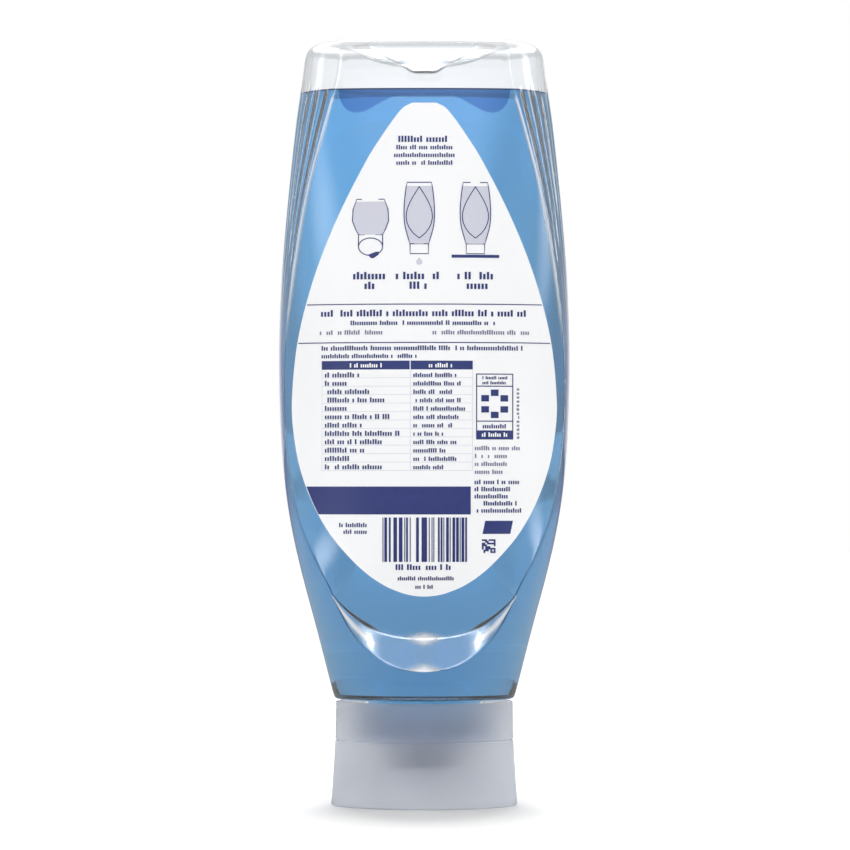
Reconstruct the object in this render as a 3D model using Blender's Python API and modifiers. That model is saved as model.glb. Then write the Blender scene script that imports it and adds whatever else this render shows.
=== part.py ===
"""Dish soap squeeze bottle, stored cap down.

A blown PET bottle stands upside down on its screw cap. Z is up, the cap's foot is at z = 0 and the
bottle's own base is at the top. The label is on the -Y panel. All sizes are in metres.
"""

import math

import bmesh
import bpy

# Driving sizes of the whole bottle
TOTAL_HEIGHT = 0.230
BODY_WIDTH = 0.088
PANEL_CROWN = 0.0282          # from the middle plane out to the crown of the front or back panel
SHOULDER_DIAMETER = 0.055
SHOULDER_CORNER = 0.0015
BODY_WALL = 0.0007
HEADSPACE = 0.015             # from the base rim down to the liquid's surface

# Base: a rounded edge, a standing rim and a dished middle with a centring nub
BASE_EDGE_HEIGHT = 0.009
DISH_DEPTH = 0.0062
NUB_DEPTH = 0.0022
NUB_TOP_RADIUS = 0.0068
NUB_TIP_RADIUS = 0.0034

# Grip flutes on the narrow sides
FLUTE_DEPTH = 0.00075

# The curved ledge under each panel
LEDGE_UPPER_RISE = 0.0133     # from the ledge's middle up to its tips, along its upper line
LEDGE_LOWER_RISE = 0.0221     # the same along its lower line
LEDGE_TIP_SPREAD = 0.001      # between the two lines where they run together

# Neck
NECK_DIAMETER = 0.0336
NECK_WALL = 0.0018
NECK_ROOT_FILLET = 0.0008
NECK_LIP_CHAMFER = 0.0004

# Cap
CAP_HEIGHT = 0.0313
CAP_STEP_HEIGHT = 0.0196
CAP_FOOT_DIAMETER = 0.0562
CAP_TOP_DIAMETER = 0.0534
CAP_WAIST_DIAMETER = 0.0538   # just under the step line
CAP_WALL = 0.0012
CAP_STEP_GROOVE = 0.00025
CAP_EDGE = 0.0004
CAP_DECK_HEIGHT = 0.0184      # the seat that the gasket lies on
CAP_DECK_WALL = 0.0014
CAP_SKIRT_WALL = 0.0017
CAP_SKIRT_DROP = 0.0011       # from the cap's rim down to the top of the threaded skirt
THREAD_ROOM = 0.0015          # radial room between the neck and the threaded skirt
SHOULDER_GAP = 0.0005         # between the cap's rim and the bottle's shoulder

# Dispensing tube under the cap's deck, with its valve, retainer and seal
TUBE_BORE = 0.0172
TUBE_WALL = 0.0013
TUBE_FOOT_HEIGHT = 0.007      # above the table
VALVE_LEDGE_HEIGHT = 0.0119
VALVE_LEDGE_WIDTH = 0.0024
VALVE_FLANGE = 0.0016
VALVE_FLANGE_WIDTH = 0.0019
VALVE_SKIN = 0.0008
VALVE_HEAD_DIAMETER = 0.0088
VALVE_HEAD_DROP = 0.0018      # the head hangs below the flange's top
VALVE_DISH = 0.0011
RETAINER_WIDTH = 0.0015
SEAL_THICKNESS = 0.0002
SEAL_TAB_WIDTH = 0.008
SEAL_TAB_LENGTH = 0.0055

GASKET_THICKNESS = 0.0012
GASKET_WIDTH = 0.0036

# Label
LABEL_HEIGHT = 0.1468
LABEL_FOOT_HEIGHT = 0.0633
LABEL_WIDTH = 0.0792
LABEL_THICKNESS = 0.0002

FIT = 0.0003                  # gap between two pieces that touch on the real bottle
MERGE = 0.00001
CAP_STEPS = 44
SMALL_STEPS = 32

# Places worked out from the sizes above
SHOULDER_Z = CAP_HEIGHT + SHOULDER_GAP
BODY_HEIGHT = TOTAL_HEIGHT - SHOULDER_Z
BASE_EDGE_Z = TOTAL_HEIGHT - BASE_EDGE_HEIGHT
FILL_Z = TOTAL_HEIGHT - HEADSPACE
MOUTH_Z = CAP_DECK_HEIGHT + FIT + GASKET_THICKNESS + FIT
NECK_RADIUS = NECK_DIAMETER / 2
SKIRT_BORE_RADIUS = NECK_RADIUS + THREAD_ROOM
TUBE_RADIUS = TUBE_BORE / 2

# The body's outline, as shares of its height and of the size that each follows
WIDTH_SHARES = (
    (0.000, 0.620), (0.056, 0.681), (0.117, 0.752), (0.179, 0.828), (0.240, 0.893), (0.302, 0.945),
    (0.362, 0.976), (0.430, 0.992), (0.516, 1.000), (0.607, 0.990), (0.701, 0.962), (0.793, 0.924),
    (0.884, 0.880), (0.956, 0.832), (1.000, 0.800),
)
OVAL_SHARES = (
    (0.00, 1.00), (0.05, 1.02), (0.11, 1.055), (0.16, 1.09), (0.26, 1.12), (0.52, 1.08), (0.74, 1.00),
    (0.92, 0.955), (1.00, 0.955),
)
CROWN_SHARES = (
    (0.09, 0.870), (0.13, 0.912), (0.16, 0.943), (0.22, 0.978), (0.30, 0.996), (0.45, 1.000),
    (0.75, 1.000), (0.95, 0.990), (1.00, 0.985),
)
CREASE_SHARES = (
    (0.160, 0.770), (0.256, 0.912), (0.367, 0.955), (0.453, 0.966), (0.578, 0.942), (0.732, 0.880),
    (0.782, 0.850), (0.852, 0.782), (0.899, 0.735), (0.932, 0.702), (1.000, 0.690),
)
PANEL_POWER = 2.5
PANEL_COLUMN_SHARES = (0, 0.27, 0.53, 0.78, 1)
FLUTE_SHARES = (0.13, 0.31, 0.51, 0.76)
FLUTE_FADE_SHARES = (0.58, 0.80)
FLUTE_END_SHARES = (0.925, 0.955)
FLAT_ROW_SHARES = (0.93, 0.88, 0.82, 0.75, 0.67, 0.59, 0.51, 0.43, 0.36, 0.29, 0.23)
LEDGE_TIP_SHARE = 0.1604
LEDGE_ARC_SHARE = 0.62
LEDGE_LOWER_ARC_SHARE = 0.41
ROUND_ROW_SHARE = 0.035
RIM_SHARE = 0.70
BASE_EDGE_POWER = 0.55        # below 1 the rounded edge is fuller than an ellipse
TIP_Z = SHOULDER_Z + LEDGE_TIP_SHARE * BODY_HEIGHT
LABEL_SHARES = (
    (0.000, 0.070), (0.006, 0.140), (0.020, 0.285), (0.045, 0.427), (0.080, 0.566), (0.126, 0.709),
    (0.186, 0.836), (0.262, 0.940), (0.338, 0.990), (0.400, 1.000), (0.520, 0.954), (0.642, 0.837),
    (0.763, 0.661), (0.885, 0.431), (0.945, 0.289), (0.980, 0.194), (0.992, 0.150), (1.000, 0.090),
)


def follow(table, place):
    """Value at a place in a table of (place, value) rows, on a smooth curve through them."""
    last = len(table) - 1

    def slope(row):
        low = max(row - 1, 0)
        high = min(row + 1, last)
        return (table[high][1] - table[low][1]) / (table[high][0] - table[low][0])

    row = 0
    while row < last - 1 and place > table[row + 1][0]:
        row += 1
    span = table[row + 1][0] - table[row][0]
    t = min(max((place - table[row][0]) / span, 0), 1)
    start_pull = (t ** 3 - 2 * t ** 2 + t) * span * slope(row)
    end_pull = (t ** 3 - t ** 2) * span * slope(row + 1)
    rise = 3 * t ** 2 - 2 * t ** 3
    return table[row][1] * (1 - rise) + table[row + 1][1] * rise + start_pull + end_pull


def share_of_body(z):
    return (z - SHOULDER_Z) / BODY_HEIGHT


def half_width(z):
    return follow(WIDTH_SHARES, share_of_body(z)) * BODY_WIDTH / 2


def oval_y(x, z):
    """Depth of the round body, before the panels flatten it."""
    reach = half_width(z)
    inside = max(0, 1 - (x / reach) ** 2)
    return reach * follow(OVAL_SHARES, share_of_body(z)) * math.sqrt(inside)


def crease_x(z):
    """Half the width of a panel, where its crease runs down the body."""
    return follow(CREASE_SHARES, share_of_body(z)) * half_width(z)


def panel_y(x, z):
    """Depth of a panel, crowned in the middle and falling to meet the round body at the crease."""
    at = max(z, TIP_Z)
    edge = crease_x(at)
    fall = PANEL_CROWN * follow(CROWN_SHARES, share_of_body(at)) - oval_y(edge, at)
    crown = PANEL_CROWN * follow(CROWN_SHARES, share_of_body(z))
    return crown - fall * (abs(x) / edge) ** PANEL_POWER


def soft_step(low, high, value):
    """0 below the low value and 1 above the high one, with a smooth rise between them."""
    t = min(max((value - low) / (high - low), 0), 1)
    return t * t * (3 - 2 * t)


def flute_fade(z):
    """Flutes are full near the base, end at its rounded edge and run out down the body."""
    share = share_of_body(z)
    return soft_step(*FLUTE_FADE_SHARES, share) * (1 - soft_step(*FLUTE_END_SHARES, share))


def side_columns():
    """Shares of the side between the crease and the middle plane, True where a flute runs."""
    columns = [(FLUTE_SHARES[0], True)]
    for before, share in zip(FLUTE_SHARES, FLUTE_SHARES[1:]):
        columns.append(((before + share) / 2, False))
        columns.append((share, True))
    columns.append(((FLUTE_SHARES[-1] + 1) / 2, False))
    columns.append((1, False))
    return columns


def side_point(share, is_flute, z):
    reach = half_width(z)
    start = math.asin(crease_x(max(z, TIP_Z)) / half_width(max(z, TIP_Z)))
    angle = start + share * (math.pi / 2 - start)
    deep = reach * follow(OVAL_SHARES, share_of_body(z))
    inward = FLUTE_DEPTH * flute_fade(z) if is_flute else 0
    return (reach - inward) * math.sin(angle), (deep - inward) * math.cos(angle)


def turned_row(radius, z):
    """A round row with the same columns as the body."""
    start = math.asin(follow(CREASE_SHARES, LEDGE_TIP_SHARE))
    points = []
    for share in PANEL_COLUMN_SHARES:
        x = share * radius * math.sin(start)
        points.append((x, -math.sqrt(radius ** 2 - x ** 2), z))
    for share, is_flute in side_columns():
        angle = start + share * (math.pi / 2 - start)
        points.append((radius * math.sin(angle), -radius * math.cos(angle), z))
    return points


def flat_row(z):
    points = []
    for share in PANEL_COLUMN_SHARES:
        x = share * crease_x(z)
        points.append((x, -panel_y(x, z), z))
    for share, is_flute in side_columns():
        x, y = side_point(share, is_flute, z)
        points.append((x, -y, z))
    return points


def ledge_drop(share, rise, arc_share):
    """How far a ledge line lies below its tips, at a share of the way out to a tip."""
    return rise * (1 - arc_share * share ** 2 - (1 - arc_share) * share ** 4)


def bent_row(side_z, bend, on_panel):
    """A row that is level on the sides and sinks in the middle, towards or along a ledge line.

    bend is 1 on the ledge line itself. on_panel rows lie on the panel, the others on the round body.
    """
    if on_panel:
        rise, arc_share = LEDGE_UPPER_RISE, LEDGE_ARC_SHARE
        edge = crease_x(max(side_z, TIP_Z))
    else:
        rise, arc_share = LEDGE_LOWER_RISE, LEDGE_LOWER_ARC_SHARE
        round_edge = follow(CREASE_SHARES, LEDGE_TIP_SHARE) * half_width(side_z)
        edge = crease_x(TIP_Z) * bend + round_edge * (1 - bend)
    points = []
    for share in PANEL_COLUMN_SHARES:
        x = share * edge
        z = side_z - bend * ledge_drop(share, rise, arc_share)
        y = panel_y(x, z) if on_panel else oval_y(x, z)
        points.append((x, -y, z))
    for share, is_flute in side_columns():
        x, y = side_point(share, is_flute, side_z)
        points.append((x, -y, side_z))
    return points


def blended_row(row_a, row_b, share):
    points = []
    for a, b in zip(row_a, row_b):
        points.append(tuple(p + (q - p) * share for p, q in zip(a, b)))
    return points


def base_rows():
    """From the centre of the nub out over the dish and the rim to the top of the side wall."""
    wall_row = flat_row(BASE_EDGE_Z)
    dish_z = TOTAL_HEIGHT - DISH_DEPTH
    rows = []
    for radius_share in (0.4, 1):
        rows.append(turned_row(NUB_TIP_RADIUS * radius_share, dish_z - NUB_DEPTH))
    nub_middle = (NUB_TIP_RADIUS + NUB_TOP_RADIUS) / 2
    rows.append(turned_row(nub_middle, dish_z - NUB_DEPTH / 2))
    nub_row = turned_row(NUB_TOP_RADIUS, dish_z)
    rows.append(nub_row)
    for out_share, rise_share in ((0.45, 0.22), (0.84, 0.8)):
        level = dish_z + DISH_DEPTH * rise_share
        rim = [(x * RIM_SHARE, y * RIM_SHARE, level) for x, y, z in wall_row]
        inner = [(x, y, level) for x, y, z in nub_row]
        rows.append(blended_row(inner, rim, out_share))
    for degrees in (90, 68, 45, 22):
        turn = math.radians(degrees)
        inset = 1 - (1 - RIM_SHARE) * (1 - math.cos(turn) ** BASE_EDGE_POWER)
        level = BASE_EDGE_Z + BASE_EDGE_HEIGHT * math.sin(turn) ** BASE_EDGE_POWER
        rows.append([(x * inset, y * inset, level) for x, y, z in wall_row])
    rows.append(wall_row)
    return rows


def body_rows():
    rows = []
    for share in FLAT_ROW_SHARES:
        rows.append(flat_row(SHOULDER_Z + share * BODY_HEIGHT))
    last_flat = SHOULDER_Z + FLAT_ROW_SHARES[-1] * BODY_HEIGHT
    upper_side = TIP_Z + LEDGE_TIP_SPREAD / 2
    for bend in (0.35, 0.7, 1):
        rows.append(bent_row(last_flat + (upper_side - last_flat) * bend, bend, True))
    lower = bent_row(TIP_Z - LEDGE_TIP_SPREAD / 2, 1, False)
    rows.append(blended_row(rows[-1], lower, 0.5))
    rows.append(lower)
    round_z = SHOULDER_Z + ROUND_ROW_SHARE * BODY_HEIGHT
    lower_side = TIP_Z - LEDGE_TIP_SPREAD / 2
    for bend in (0.7, 0.35, 0):
        rows.append(bent_row(round_z + (lower_side - round_z) * bend, bend, False))
    return rows


def neck_rows():
    shoulder_radius = SHOULDER_DIAMETER / 2
    profile = []
    for degrees in (0, 45, 90):
        turn = math.radians(degrees)
        profile.append((shoulder_radius - SHOULDER_CORNER * (1 - math.cos(turn)),
                        SHOULDER_Z + SHOULDER_CORNER * (1 - math.sin(turn))))
    profile.append((NECK_RADIUS + NECK_ROOT_FILLET, SHOULDER_Z))
    profile.append((NECK_RADIUS, SHOULDER_Z - NECK_ROOT_FILLET))
    profile.append((NECK_RADIUS, MOUTH_Z + NECK_LIP_CHAMFER))
    profile.append((NECK_RADIUS - NECK_LIP_CHAMFER, MOUTH_Z))
    return [turned_row(radius, z) for radius, z in profile]


def wall_at(z):
    """Wall thickness: thin on the blown body, thick on the moulded neck."""
    return NECK_WALL if z < SHOULDER_Z + SHOULDER_CORNER / 2 else BODY_WALL


def collect(name):
    group = bpy.data.collections.new(name)
    bpy.context.scene.collection.children.link(group)
    return group


def material(name, colour, roughness, alpha=1.0, transmission=0.0):
    finish = bpy.data.materials.new(name)
    finish.use_nodes = True
    shader = finish.node_tree.nodes["Principled BSDF"]
    shader.inputs["Base Color"].default_value = (*colour, 1)
    shader.inputs["Roughness"].default_value = roughness
    shader.inputs["Metallic"].default_value = 0.0
    shader.inputs["Alpha"].default_value = alpha
    shader.inputs["Transmission Weight"].default_value = transmission
    finish.diffuse_color = (*colour, alpha)
    return finish


def add_object(name, mesh, group, finish):
    piece = bpy.data.objects.new(name, mesh)
    group.objects.link(piece)
    piece.data.materials.append(finish)
    return piece


def quarter_skin():
    """One quarter of the bottle's outer skin, open at the two planes of symmetry and at the mouth."""
    rows = base_rows() + body_rows() + neck_rows()
    build = bmesh.new()
    centre = build.verts.new((0, 0, rows[0][0][2]))
    grid = []
    for row in rows:
        on_planes = []
        for index, (x, y, z) in enumerate(row):
            on_x_plane = 0 if index == 0 else x
            on_y_plane = 0 if index == len(row) - 1 else y
            on_planes.append(build.verts.new((on_x_plane, on_y_plane, z)))
        grid.append(on_planes)
    for first, second in zip(grid[0], grid[0][1:]):
        build.faces.new((centre, first, second))
    for upper, lower in zip(grid, grid[1:]):
        for index in range(len(upper) - 1):
            build.faces.new((upper[index], lower[index], lower[index + 1], upper[index + 1]))
    mesh = bpy.data.meshes.new("quarter_skin")
    build.to_mesh(mesh)
    build.free()
    return mesh


def point_outwards(build):
    """Turn the faces the same way round, with the closed or open shell's volume positive."""
    bmesh.ops.recalc_face_normals(build, faces=build.faces)
    if build.calc_volume(signed=True) < 0:
        bmesh.ops.reverse_faces(build, faces=build.faces)


def whole_skin():
    """The quarter mirrored to the other three and made one open mesh."""
    quarter = bpy.data.objects.new("quarter_skin", quarter_skin())
    bpy.context.scene.collection.objects.link(quarter)
    mirror = quarter.modifiers.new("four quarters", "MIRROR")
    mirror.use_axis = (True, True, False)
    mirror.merge_threshold = MERGE
    bpy.context.view_layer.update()
    evaluated = quarter.evaluated_get(bpy.context.evaluated_depsgraph_get())
    mesh = bpy.data.meshes.new_from_object(evaluated)
    bpy.data.objects.remove(quarter)
    build = bmesh.new()
    build.from_mesh(mesh)
    point_outwards(build)
    build.to_mesh(mesh)
    build.free()
    return mesh


def make_bottle(group, skin):
    """The blown shell: the outer skin with its wall turned inwards."""
    finish = material("clear PET", (0.86, 0.90, 0.94), 0.06, alpha=0.35, transmission=1.0)
    bottle = add_object("bottle", skin.copy(), group, finish)
    walls = bottle.vertex_groups.new(name="wall share")
    for vertex in bottle.data.vertices:
        walls.add([vertex.index], wall_at(vertex.co.z) / NECK_WALL, "REPLACE")
    shell = bottle.modifiers.new("wall", "SOLIDIFY")
    shell.thickness = NECK_WALL
    shell.offset = -1
    shell.use_even_offset = True
    shell.vertex_group = walls.name
    bottle.data.shade_smooth()
    return bottle


def make_liquid(group, skin):
    """The soap: the room inside the shell, less a small gap, up to the fill level."""
    build = bmesh.new()
    build.from_mesh(skin)
    build.normal_update()
    moves = []
    for vertex in build.verts:
        depth = (wall_at(vertex.co.z) + FIT) * vertex.calc_shell_factor()
        moves.append(vertex.co - vertex.normal * depth)
    for vertex, place in zip(build.verts, moves):
        vertex.co = place
    cuts = (((0, 0, FILL_Z), (0, 0, 1)), ((0, 0, MOUTH_Z + FIT), (0, 0, -1)))
    for place, outward in cuts:
        everything = build.verts[:] + build.edges[:] + build.faces[:]
        bmesh.ops.bisect_plane(build, geom=everything, plane_co=place, plane_no=outward, clear_outer=True)
    bmesh.ops.holes_fill(build, edges=build.edges[:])
    point_outwards(build)
    mesh = bpy.data.meshes.new("liquid")
    build.to_mesh(mesh)
    build.free()
    finish = material("blue dish soap", (0.16, 0.36, 0.66), 0.05, alpha=0.8, transmission=0.8)
    return add_object("liquid", mesh, group, finish)


def label_cutter(group):
    """A prism on the label's teardrop outline, running through the -Y panel."""
    side = [(width_share * LABEL_WIDTH / 2, LABEL_FOOT_HEIGHT + height_share * LABEL_HEIGHT)
            for height_share, width_share in LABEL_SHARES]
    outline = side + [(-x, z) for x, z in reversed(side)]
    build = bmesh.new()
    face = build.faces.new([build.verts.new((x, -2 * PANEL_CROWN, z)) for x, z in outline])
    swept = bmesh.ops.extrude_face_region(build, geom=[face])
    for vertex in swept["geom"]:
        if isinstance(vertex, bmesh.types.BMVert):
            vertex.co.y = 0
    point_outwards(build)
    mesh = bpy.data.meshes.new("label_cutter")
    build.to_mesh(mesh)
    build.free()
    cutter = bpy.data.objects.new("label_cutter", mesh)
    group.objects.link(cutter)
    cutter.hide_render = True
    cutter.display_type = "WIRE"
    return cutter


def make_label(group, skin, cutter):
    """Teardrop film label: the -Y panel's own skin, lifted by a small gap and cut to the outline."""
    build = bmesh.new()
    build.from_mesh(skin)
    build.normal_update()
    lifted = [vertex.co + vertex.normal * FIT * vertex.calc_shell_factor() for vertex in build.verts]
    for vertex, place in zip(build.verts, lifted):
        vertex.co = place
    top = LABEL_FOOT_HEIGHT + LABEL_HEIGHT
    away = []
    for face in build.faces:
        low = min(vertex.co.z for vertex in face.verts)
        high = max(vertex.co.z for vertex in face.verts)
        if face.calc_center_median().y > 0 or low > top or high < LABEL_FOOT_HEIGHT:
            away.append(face)
    bmesh.ops.delete(build, geom=away, context="FACES")
    mesh = bpy.data.meshes.new("label")
    build.to_mesh(mesh)
    build.free()
    label = add_object("label", mesh, group, material("white film label", (0.99, 0.99, 0.99), 0.4))
    film = label.modifiers.new("film", "SOLIDIFY")
    film.thickness = LABEL_THICKNESS
    film.offset = 1
    outline = label.modifiers.new("outline", "BOOLEAN")
    outline.operation = "INTERSECT"
    outline.solver = "EXACT"
    outline.object = cutter
    return label


def turned(name, outline, group, finish, closed=True, steps=SMALL_STEPS):
    """A profile at +X, running down its outer side, turned about the Z axis."""
    build = bmesh.new()
    verts = [build.verts.new((radius, 0, z)) for radius, z in outline]
    for first, second in zip(verts, verts[1:]):
        build.edges.new((first, second))
    if closed:
        build.edges.new((verts[-1], verts[0]))
    mesh = bpy.data.meshes.new(name)
    build.to_mesh(mesh)
    build.free()
    piece = add_object(name, mesh, group, finish)
    screw = piece.modifiers.new("turn", "SCREW")
    screw.steps = steps
    screw.render_steps = steps
    screw.use_merge_vertices = True
    screw.merge_threshold = MERGE
    return piece


def make_cap(group):
    """One moulding: flared outer skirt, deck, threaded inner skirt and dispensing tube."""
    top = CAP_TOP_DIAMETER / 2
    waist = CAP_WAIST_DIAMETER / 2
    foot = CAP_FOOT_DIAMETER / 2
    groove = min(top, waist) - CAP_STEP_GROOVE
    flare = foot - waist
    outline = [
        (top - CAP_EDGE, CAP_HEIGHT),
        (top, CAP_HEIGHT - CAP_EDGE),
        (waist, CAP_STEP_HEIGHT + CAP_EDGE),
        (groove, CAP_STEP_HEIGHT + CAP_EDGE / 2),
        (groove, CAP_STEP_HEIGHT),
        (waist, CAP_STEP_HEIGHT - CAP_EDGE / 2),
    ]
    for height_share, flare_share in ((0.66, 0.30), (0.33, 0.66)):
        outline.append((waist + flare_share * flare, CAP_STEP_HEIGHT * height_share))
    outline += [
        (foot, CAP_EDGE),
        (foot - CAP_EDGE, 0),
        (foot - CAP_WALL, 0),
        (foot - CAP_WALL - CAP_EDGE, CAP_EDGE),
    ]
    for height_share, flare_share in ((0.33, 0.66), (0.66, 0.30)):
        outline.append((waist + flare_share * flare - CAP_WALL, CAP_STEP_HEIGHT * height_share))
    deck_under = CAP_DECK_HEIGHT - CAP_DECK_WALL
    tube_outer = TUBE_RADIUS + TUBE_WALL
    hole = TUBE_RADIUS - VALVE_LEDGE_WIDTH
    funnel = CAP_DECK_WALL
    outline += [
        (waist - CAP_WALL - CAP_EDGE, deck_under - CAP_EDGE),
        (waist - CAP_WALL - CAP_EDGE - CAP_DECK_WALL, deck_under),
        (tube_outer + funnel, deck_under),
        (tube_outer, deck_under - funnel),
        (tube_outer, TUBE_FOOT_HEIGHT + CAP_EDGE),
        (tube_outer - CAP_EDGE, TUBE_FOOT_HEIGHT),
        (TUBE_RADIUS, TUBE_FOOT_HEIGHT),
        (TUBE_RADIUS, VALVE_LEDGE_HEIGHT),
        (hole, VALVE_LEDGE_HEIGHT),
        (hole, deck_under - funnel),
        (hole + 2 * funnel, CAP_DECK_HEIGHT),
        (SKIRT_BORE_RADIUS, CAP_DECK_HEIGHT),
        (SKIRT_BORE_RADIUS, CAP_HEIGHT - CAP_SKIRT_DROP - CAP_EDGE),
        (SKIRT_BORE_RADIUS + CAP_EDGE, CAP_HEIGHT - CAP_SKIRT_DROP),
        (SKIRT_BORE_RADIUS + CAP_SKIRT_WALL - CAP_EDGE, CAP_HEIGHT - CAP_SKIRT_DROP),
        (SKIRT_BORE_RADIUS + CAP_SKIRT_WALL, CAP_HEIGHT - CAP_SKIRT_DROP - CAP_EDGE),
        (SKIRT_BORE_RADIUS + CAP_SKIRT_WALL, CAP_DECK_HEIGHT),
        (top - CAP_WALL, CAP_DECK_HEIGHT),
        (top - CAP_WALL, CAP_HEIGHT - CAP_EDGE),
        (top - CAP_WALL + CAP_EDGE, CAP_HEIGHT),
    ]
    finish = material("frosted polypropylene", (0.52, 0.56, 0.61), 0.45)
    return turned("cap", outline, group, finish, steps=CAP_STEPS)


def make_gasket(group):
    """Soft ring between the neck's mouth and the cap's deck."""
    outer = SKIRT_BORE_RADIUS - FIT
    base = CAP_DECK_HEIGHT + FIT
    outline = [
        (outer, base + GASKET_THICKNESS),
        (outer, base),
        (outer - GASKET_WIDTH, base),
        (outer - GASKET_WIDTH, base + GASKET_THICKNESS),
    ]
    return turned("gasket", outline, group, material("white foam gasket", (0.85, 0.85, 0.83), 0.7))


def make_valve(group):
    """Silicone slit valve: a flange, a rolled sleeve and a dished head."""
    top = VALVE_LEDGE_HEIGHT - FIT
    outer = TUBE_RADIUS - FIT
    inner = outer - VALVE_FLANGE_WIDTH
    head = VALVE_HEAD_DIAMETER / 2
    head_top = top - VALVE_HEAD_DROP
    outline = [
        (0, head_top - VALVE_DISH + VALVE_SKIN),
        (head / 2, head_top - VALVE_DISH * 0.75 + VALVE_SKIN),
        (head, head_top),
        (inner, top),
        (outer, top),
        (outer, top - VALVE_FLANGE),
        (inner, top - VALVE_FLANGE),
        (head, head_top - VALVE_SKIN),
        (head / 2, head_top - VALVE_DISH),
        (0, head_top - VALVE_DISH),
    ]
    finish = material("silicone rubber", (0.80, 0.82, 0.84), 0.5)
    return turned("valve", outline, group, finish, closed=False)


def make_retainer(group):
    """Ring that holds the valve's flange up against its ledge."""
    outer = TUBE_RADIUS - FIT
    top = VALVE_LEDGE_HEIGHT - FIT - VALVE_FLANGE - FIT
    base = TUBE_FOOT_HEIGHT
    outline = [
        (outer, top),
        (outer, base),
        (outer - RETAINER_WIDTH, base),
        (outer - RETAINER_WIDTH, top),
    ]
    finish = material("white polypropylene", (0.88, 0.89, 0.90), 0.4)
    return turned("valve_retainer", outline, group, finish)


def make_seal(group):
    """Peel-off foil disc with a pull tab, glued over the dispensing tube."""
    radius = TUBE_RADIUS + TUBE_WALL
    half_tab = SEAL_TAB_WIDTH / 2
    reach = radius + SEAL_TAB_LENGTH
    start = math.asin(half_tab / radius)
    turns = 40
    points = []
    for step in range(turns + 1):
        angle = start + (2 * math.pi - 2 * start) * step / turns
        points.append((radius * math.cos(angle), radius * math.sin(angle)))
    corner_steps = 5
    for sign in (-1, 1):
        steps = range(corner_steps + 1) if sign < 0 else range(corner_steps, -1, -1)
        for step in steps:
            angle = math.pi / 2 * step / corner_steps
            rounding = half_tab / 2
            x = reach - rounding + rounding * math.sin(angle)
            y = half_tab - rounding + rounding * math.cos(angle)
            points.append((x, sign * y))
    curve = bpy.data.curves.new("peel_seal", "CURVE")
    curve.dimensions = "2D"
    curve.fill_mode = "BOTH"
    curve.extrude = SEAL_THICKNESS / 2
    outline = curve.splines.new("POLY")
    outline.points.add(len(points) - 1)
    for point, (x, y) in zip(outline.points, points):
        point.co = (x, y, 0, 1)
    outline.use_cyclic_u = True
    seal = add_object("peel_seal", curve, group, material("foil laminate", (0.80, 0.81, 0.83), 0.35))
    seal.location.z = TUBE_FOOT_HEIGHT - FIT - SEAL_THICKNESS / 2
    return seal


def main():
    for old in list(bpy.data.objects):
        bpy.data.objects.remove(old)
    group = collect("dish_soap_bottle")
    skin = whole_skin()
    unscrewing = bpy.data.objects.new("cap_unscrew_axis", None)
    unscrewing.empty_display_size = NECK_RADIUS
    group.objects.link(unscrewing)
    label = make_label(group, skin, label_cutter(collect("cutters")))
    for piece in (make_bottle(group, skin), make_liquid(group, skin), label, make_gasket(group)):
        piece.parent = unscrewing
    make_cap(group)
    make_valve(group)
    make_retainer(group)
    make_seal(group)


main()
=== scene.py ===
import math

import bmesh
import bpy
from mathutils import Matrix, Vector


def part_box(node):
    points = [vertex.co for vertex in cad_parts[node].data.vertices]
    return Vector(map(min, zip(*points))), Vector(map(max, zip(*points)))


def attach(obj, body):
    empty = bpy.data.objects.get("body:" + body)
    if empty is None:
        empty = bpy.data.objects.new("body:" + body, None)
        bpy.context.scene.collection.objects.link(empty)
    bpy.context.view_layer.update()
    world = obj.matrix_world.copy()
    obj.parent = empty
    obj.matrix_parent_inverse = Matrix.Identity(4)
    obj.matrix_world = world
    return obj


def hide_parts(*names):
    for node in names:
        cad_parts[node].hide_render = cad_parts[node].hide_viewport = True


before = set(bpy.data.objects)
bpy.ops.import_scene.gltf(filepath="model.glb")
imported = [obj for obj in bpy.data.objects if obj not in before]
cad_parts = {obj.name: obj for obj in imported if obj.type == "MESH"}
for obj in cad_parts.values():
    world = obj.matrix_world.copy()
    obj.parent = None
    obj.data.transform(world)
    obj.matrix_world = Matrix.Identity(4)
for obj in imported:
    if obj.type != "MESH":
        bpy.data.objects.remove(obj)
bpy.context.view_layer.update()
MM = 0.001


# Studio: a pale floor under an even white surround, with large soft lamps to each side and overhead.
# The camera stands a little below the middle of the bottle and looks at the label square on.
CAMERA_DISTANCE = 1.6
CAMERA_HEIGHT = 0.096
AIM = Vector((0.0002, 0, 0.1146))
FRAME_WIDTH_AT_BOTTLE = 0.2570
SENSOR_WIDTH = 36
FLOOR_HALF = 6.0
FLOOR_DROP = 0.0002
AMBIENT_LEVEL = 0.70
WALL_LEVEL = 0.70
FLANK_LEVEL = 0.50
LEFT_LEVEL = 0.78
CARD_LEVEL = 0.62
CARD_TOP = 0.085
CARD_FADE = 0.025
CARD_HALF = 0.04
CARD_Y = 0.07
RING_LEVEL = 8.0


def linear(hex_colour):
    """An sRGB hex colour as linear values with alpha."""
    values = []
    for start in (1, 3, 5):
        value = int(hex_colour[start:start + 2], 16) / 255
        values.append(value / 12.92 if value <= 0.04045 else ((value + 0.055) / 1.055) ** 2.4)
    return (*values, 1.0)


def add_node(tree, kind, inputs=None, **settings):
    """One node with its settings, and its inputs as values or as links from other sockets."""
    node = tree.nodes.new(kind)
    for name, value in settings.items():
        setattr(node, name, value)
    for key, value in (inputs or {}).items():
        if isinstance(value, bpy.types.NodeSocket):
            tree.links.new(value, node.inputs[key])
        else:
            node.inputs[key].default_value = value
    return node


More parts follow.
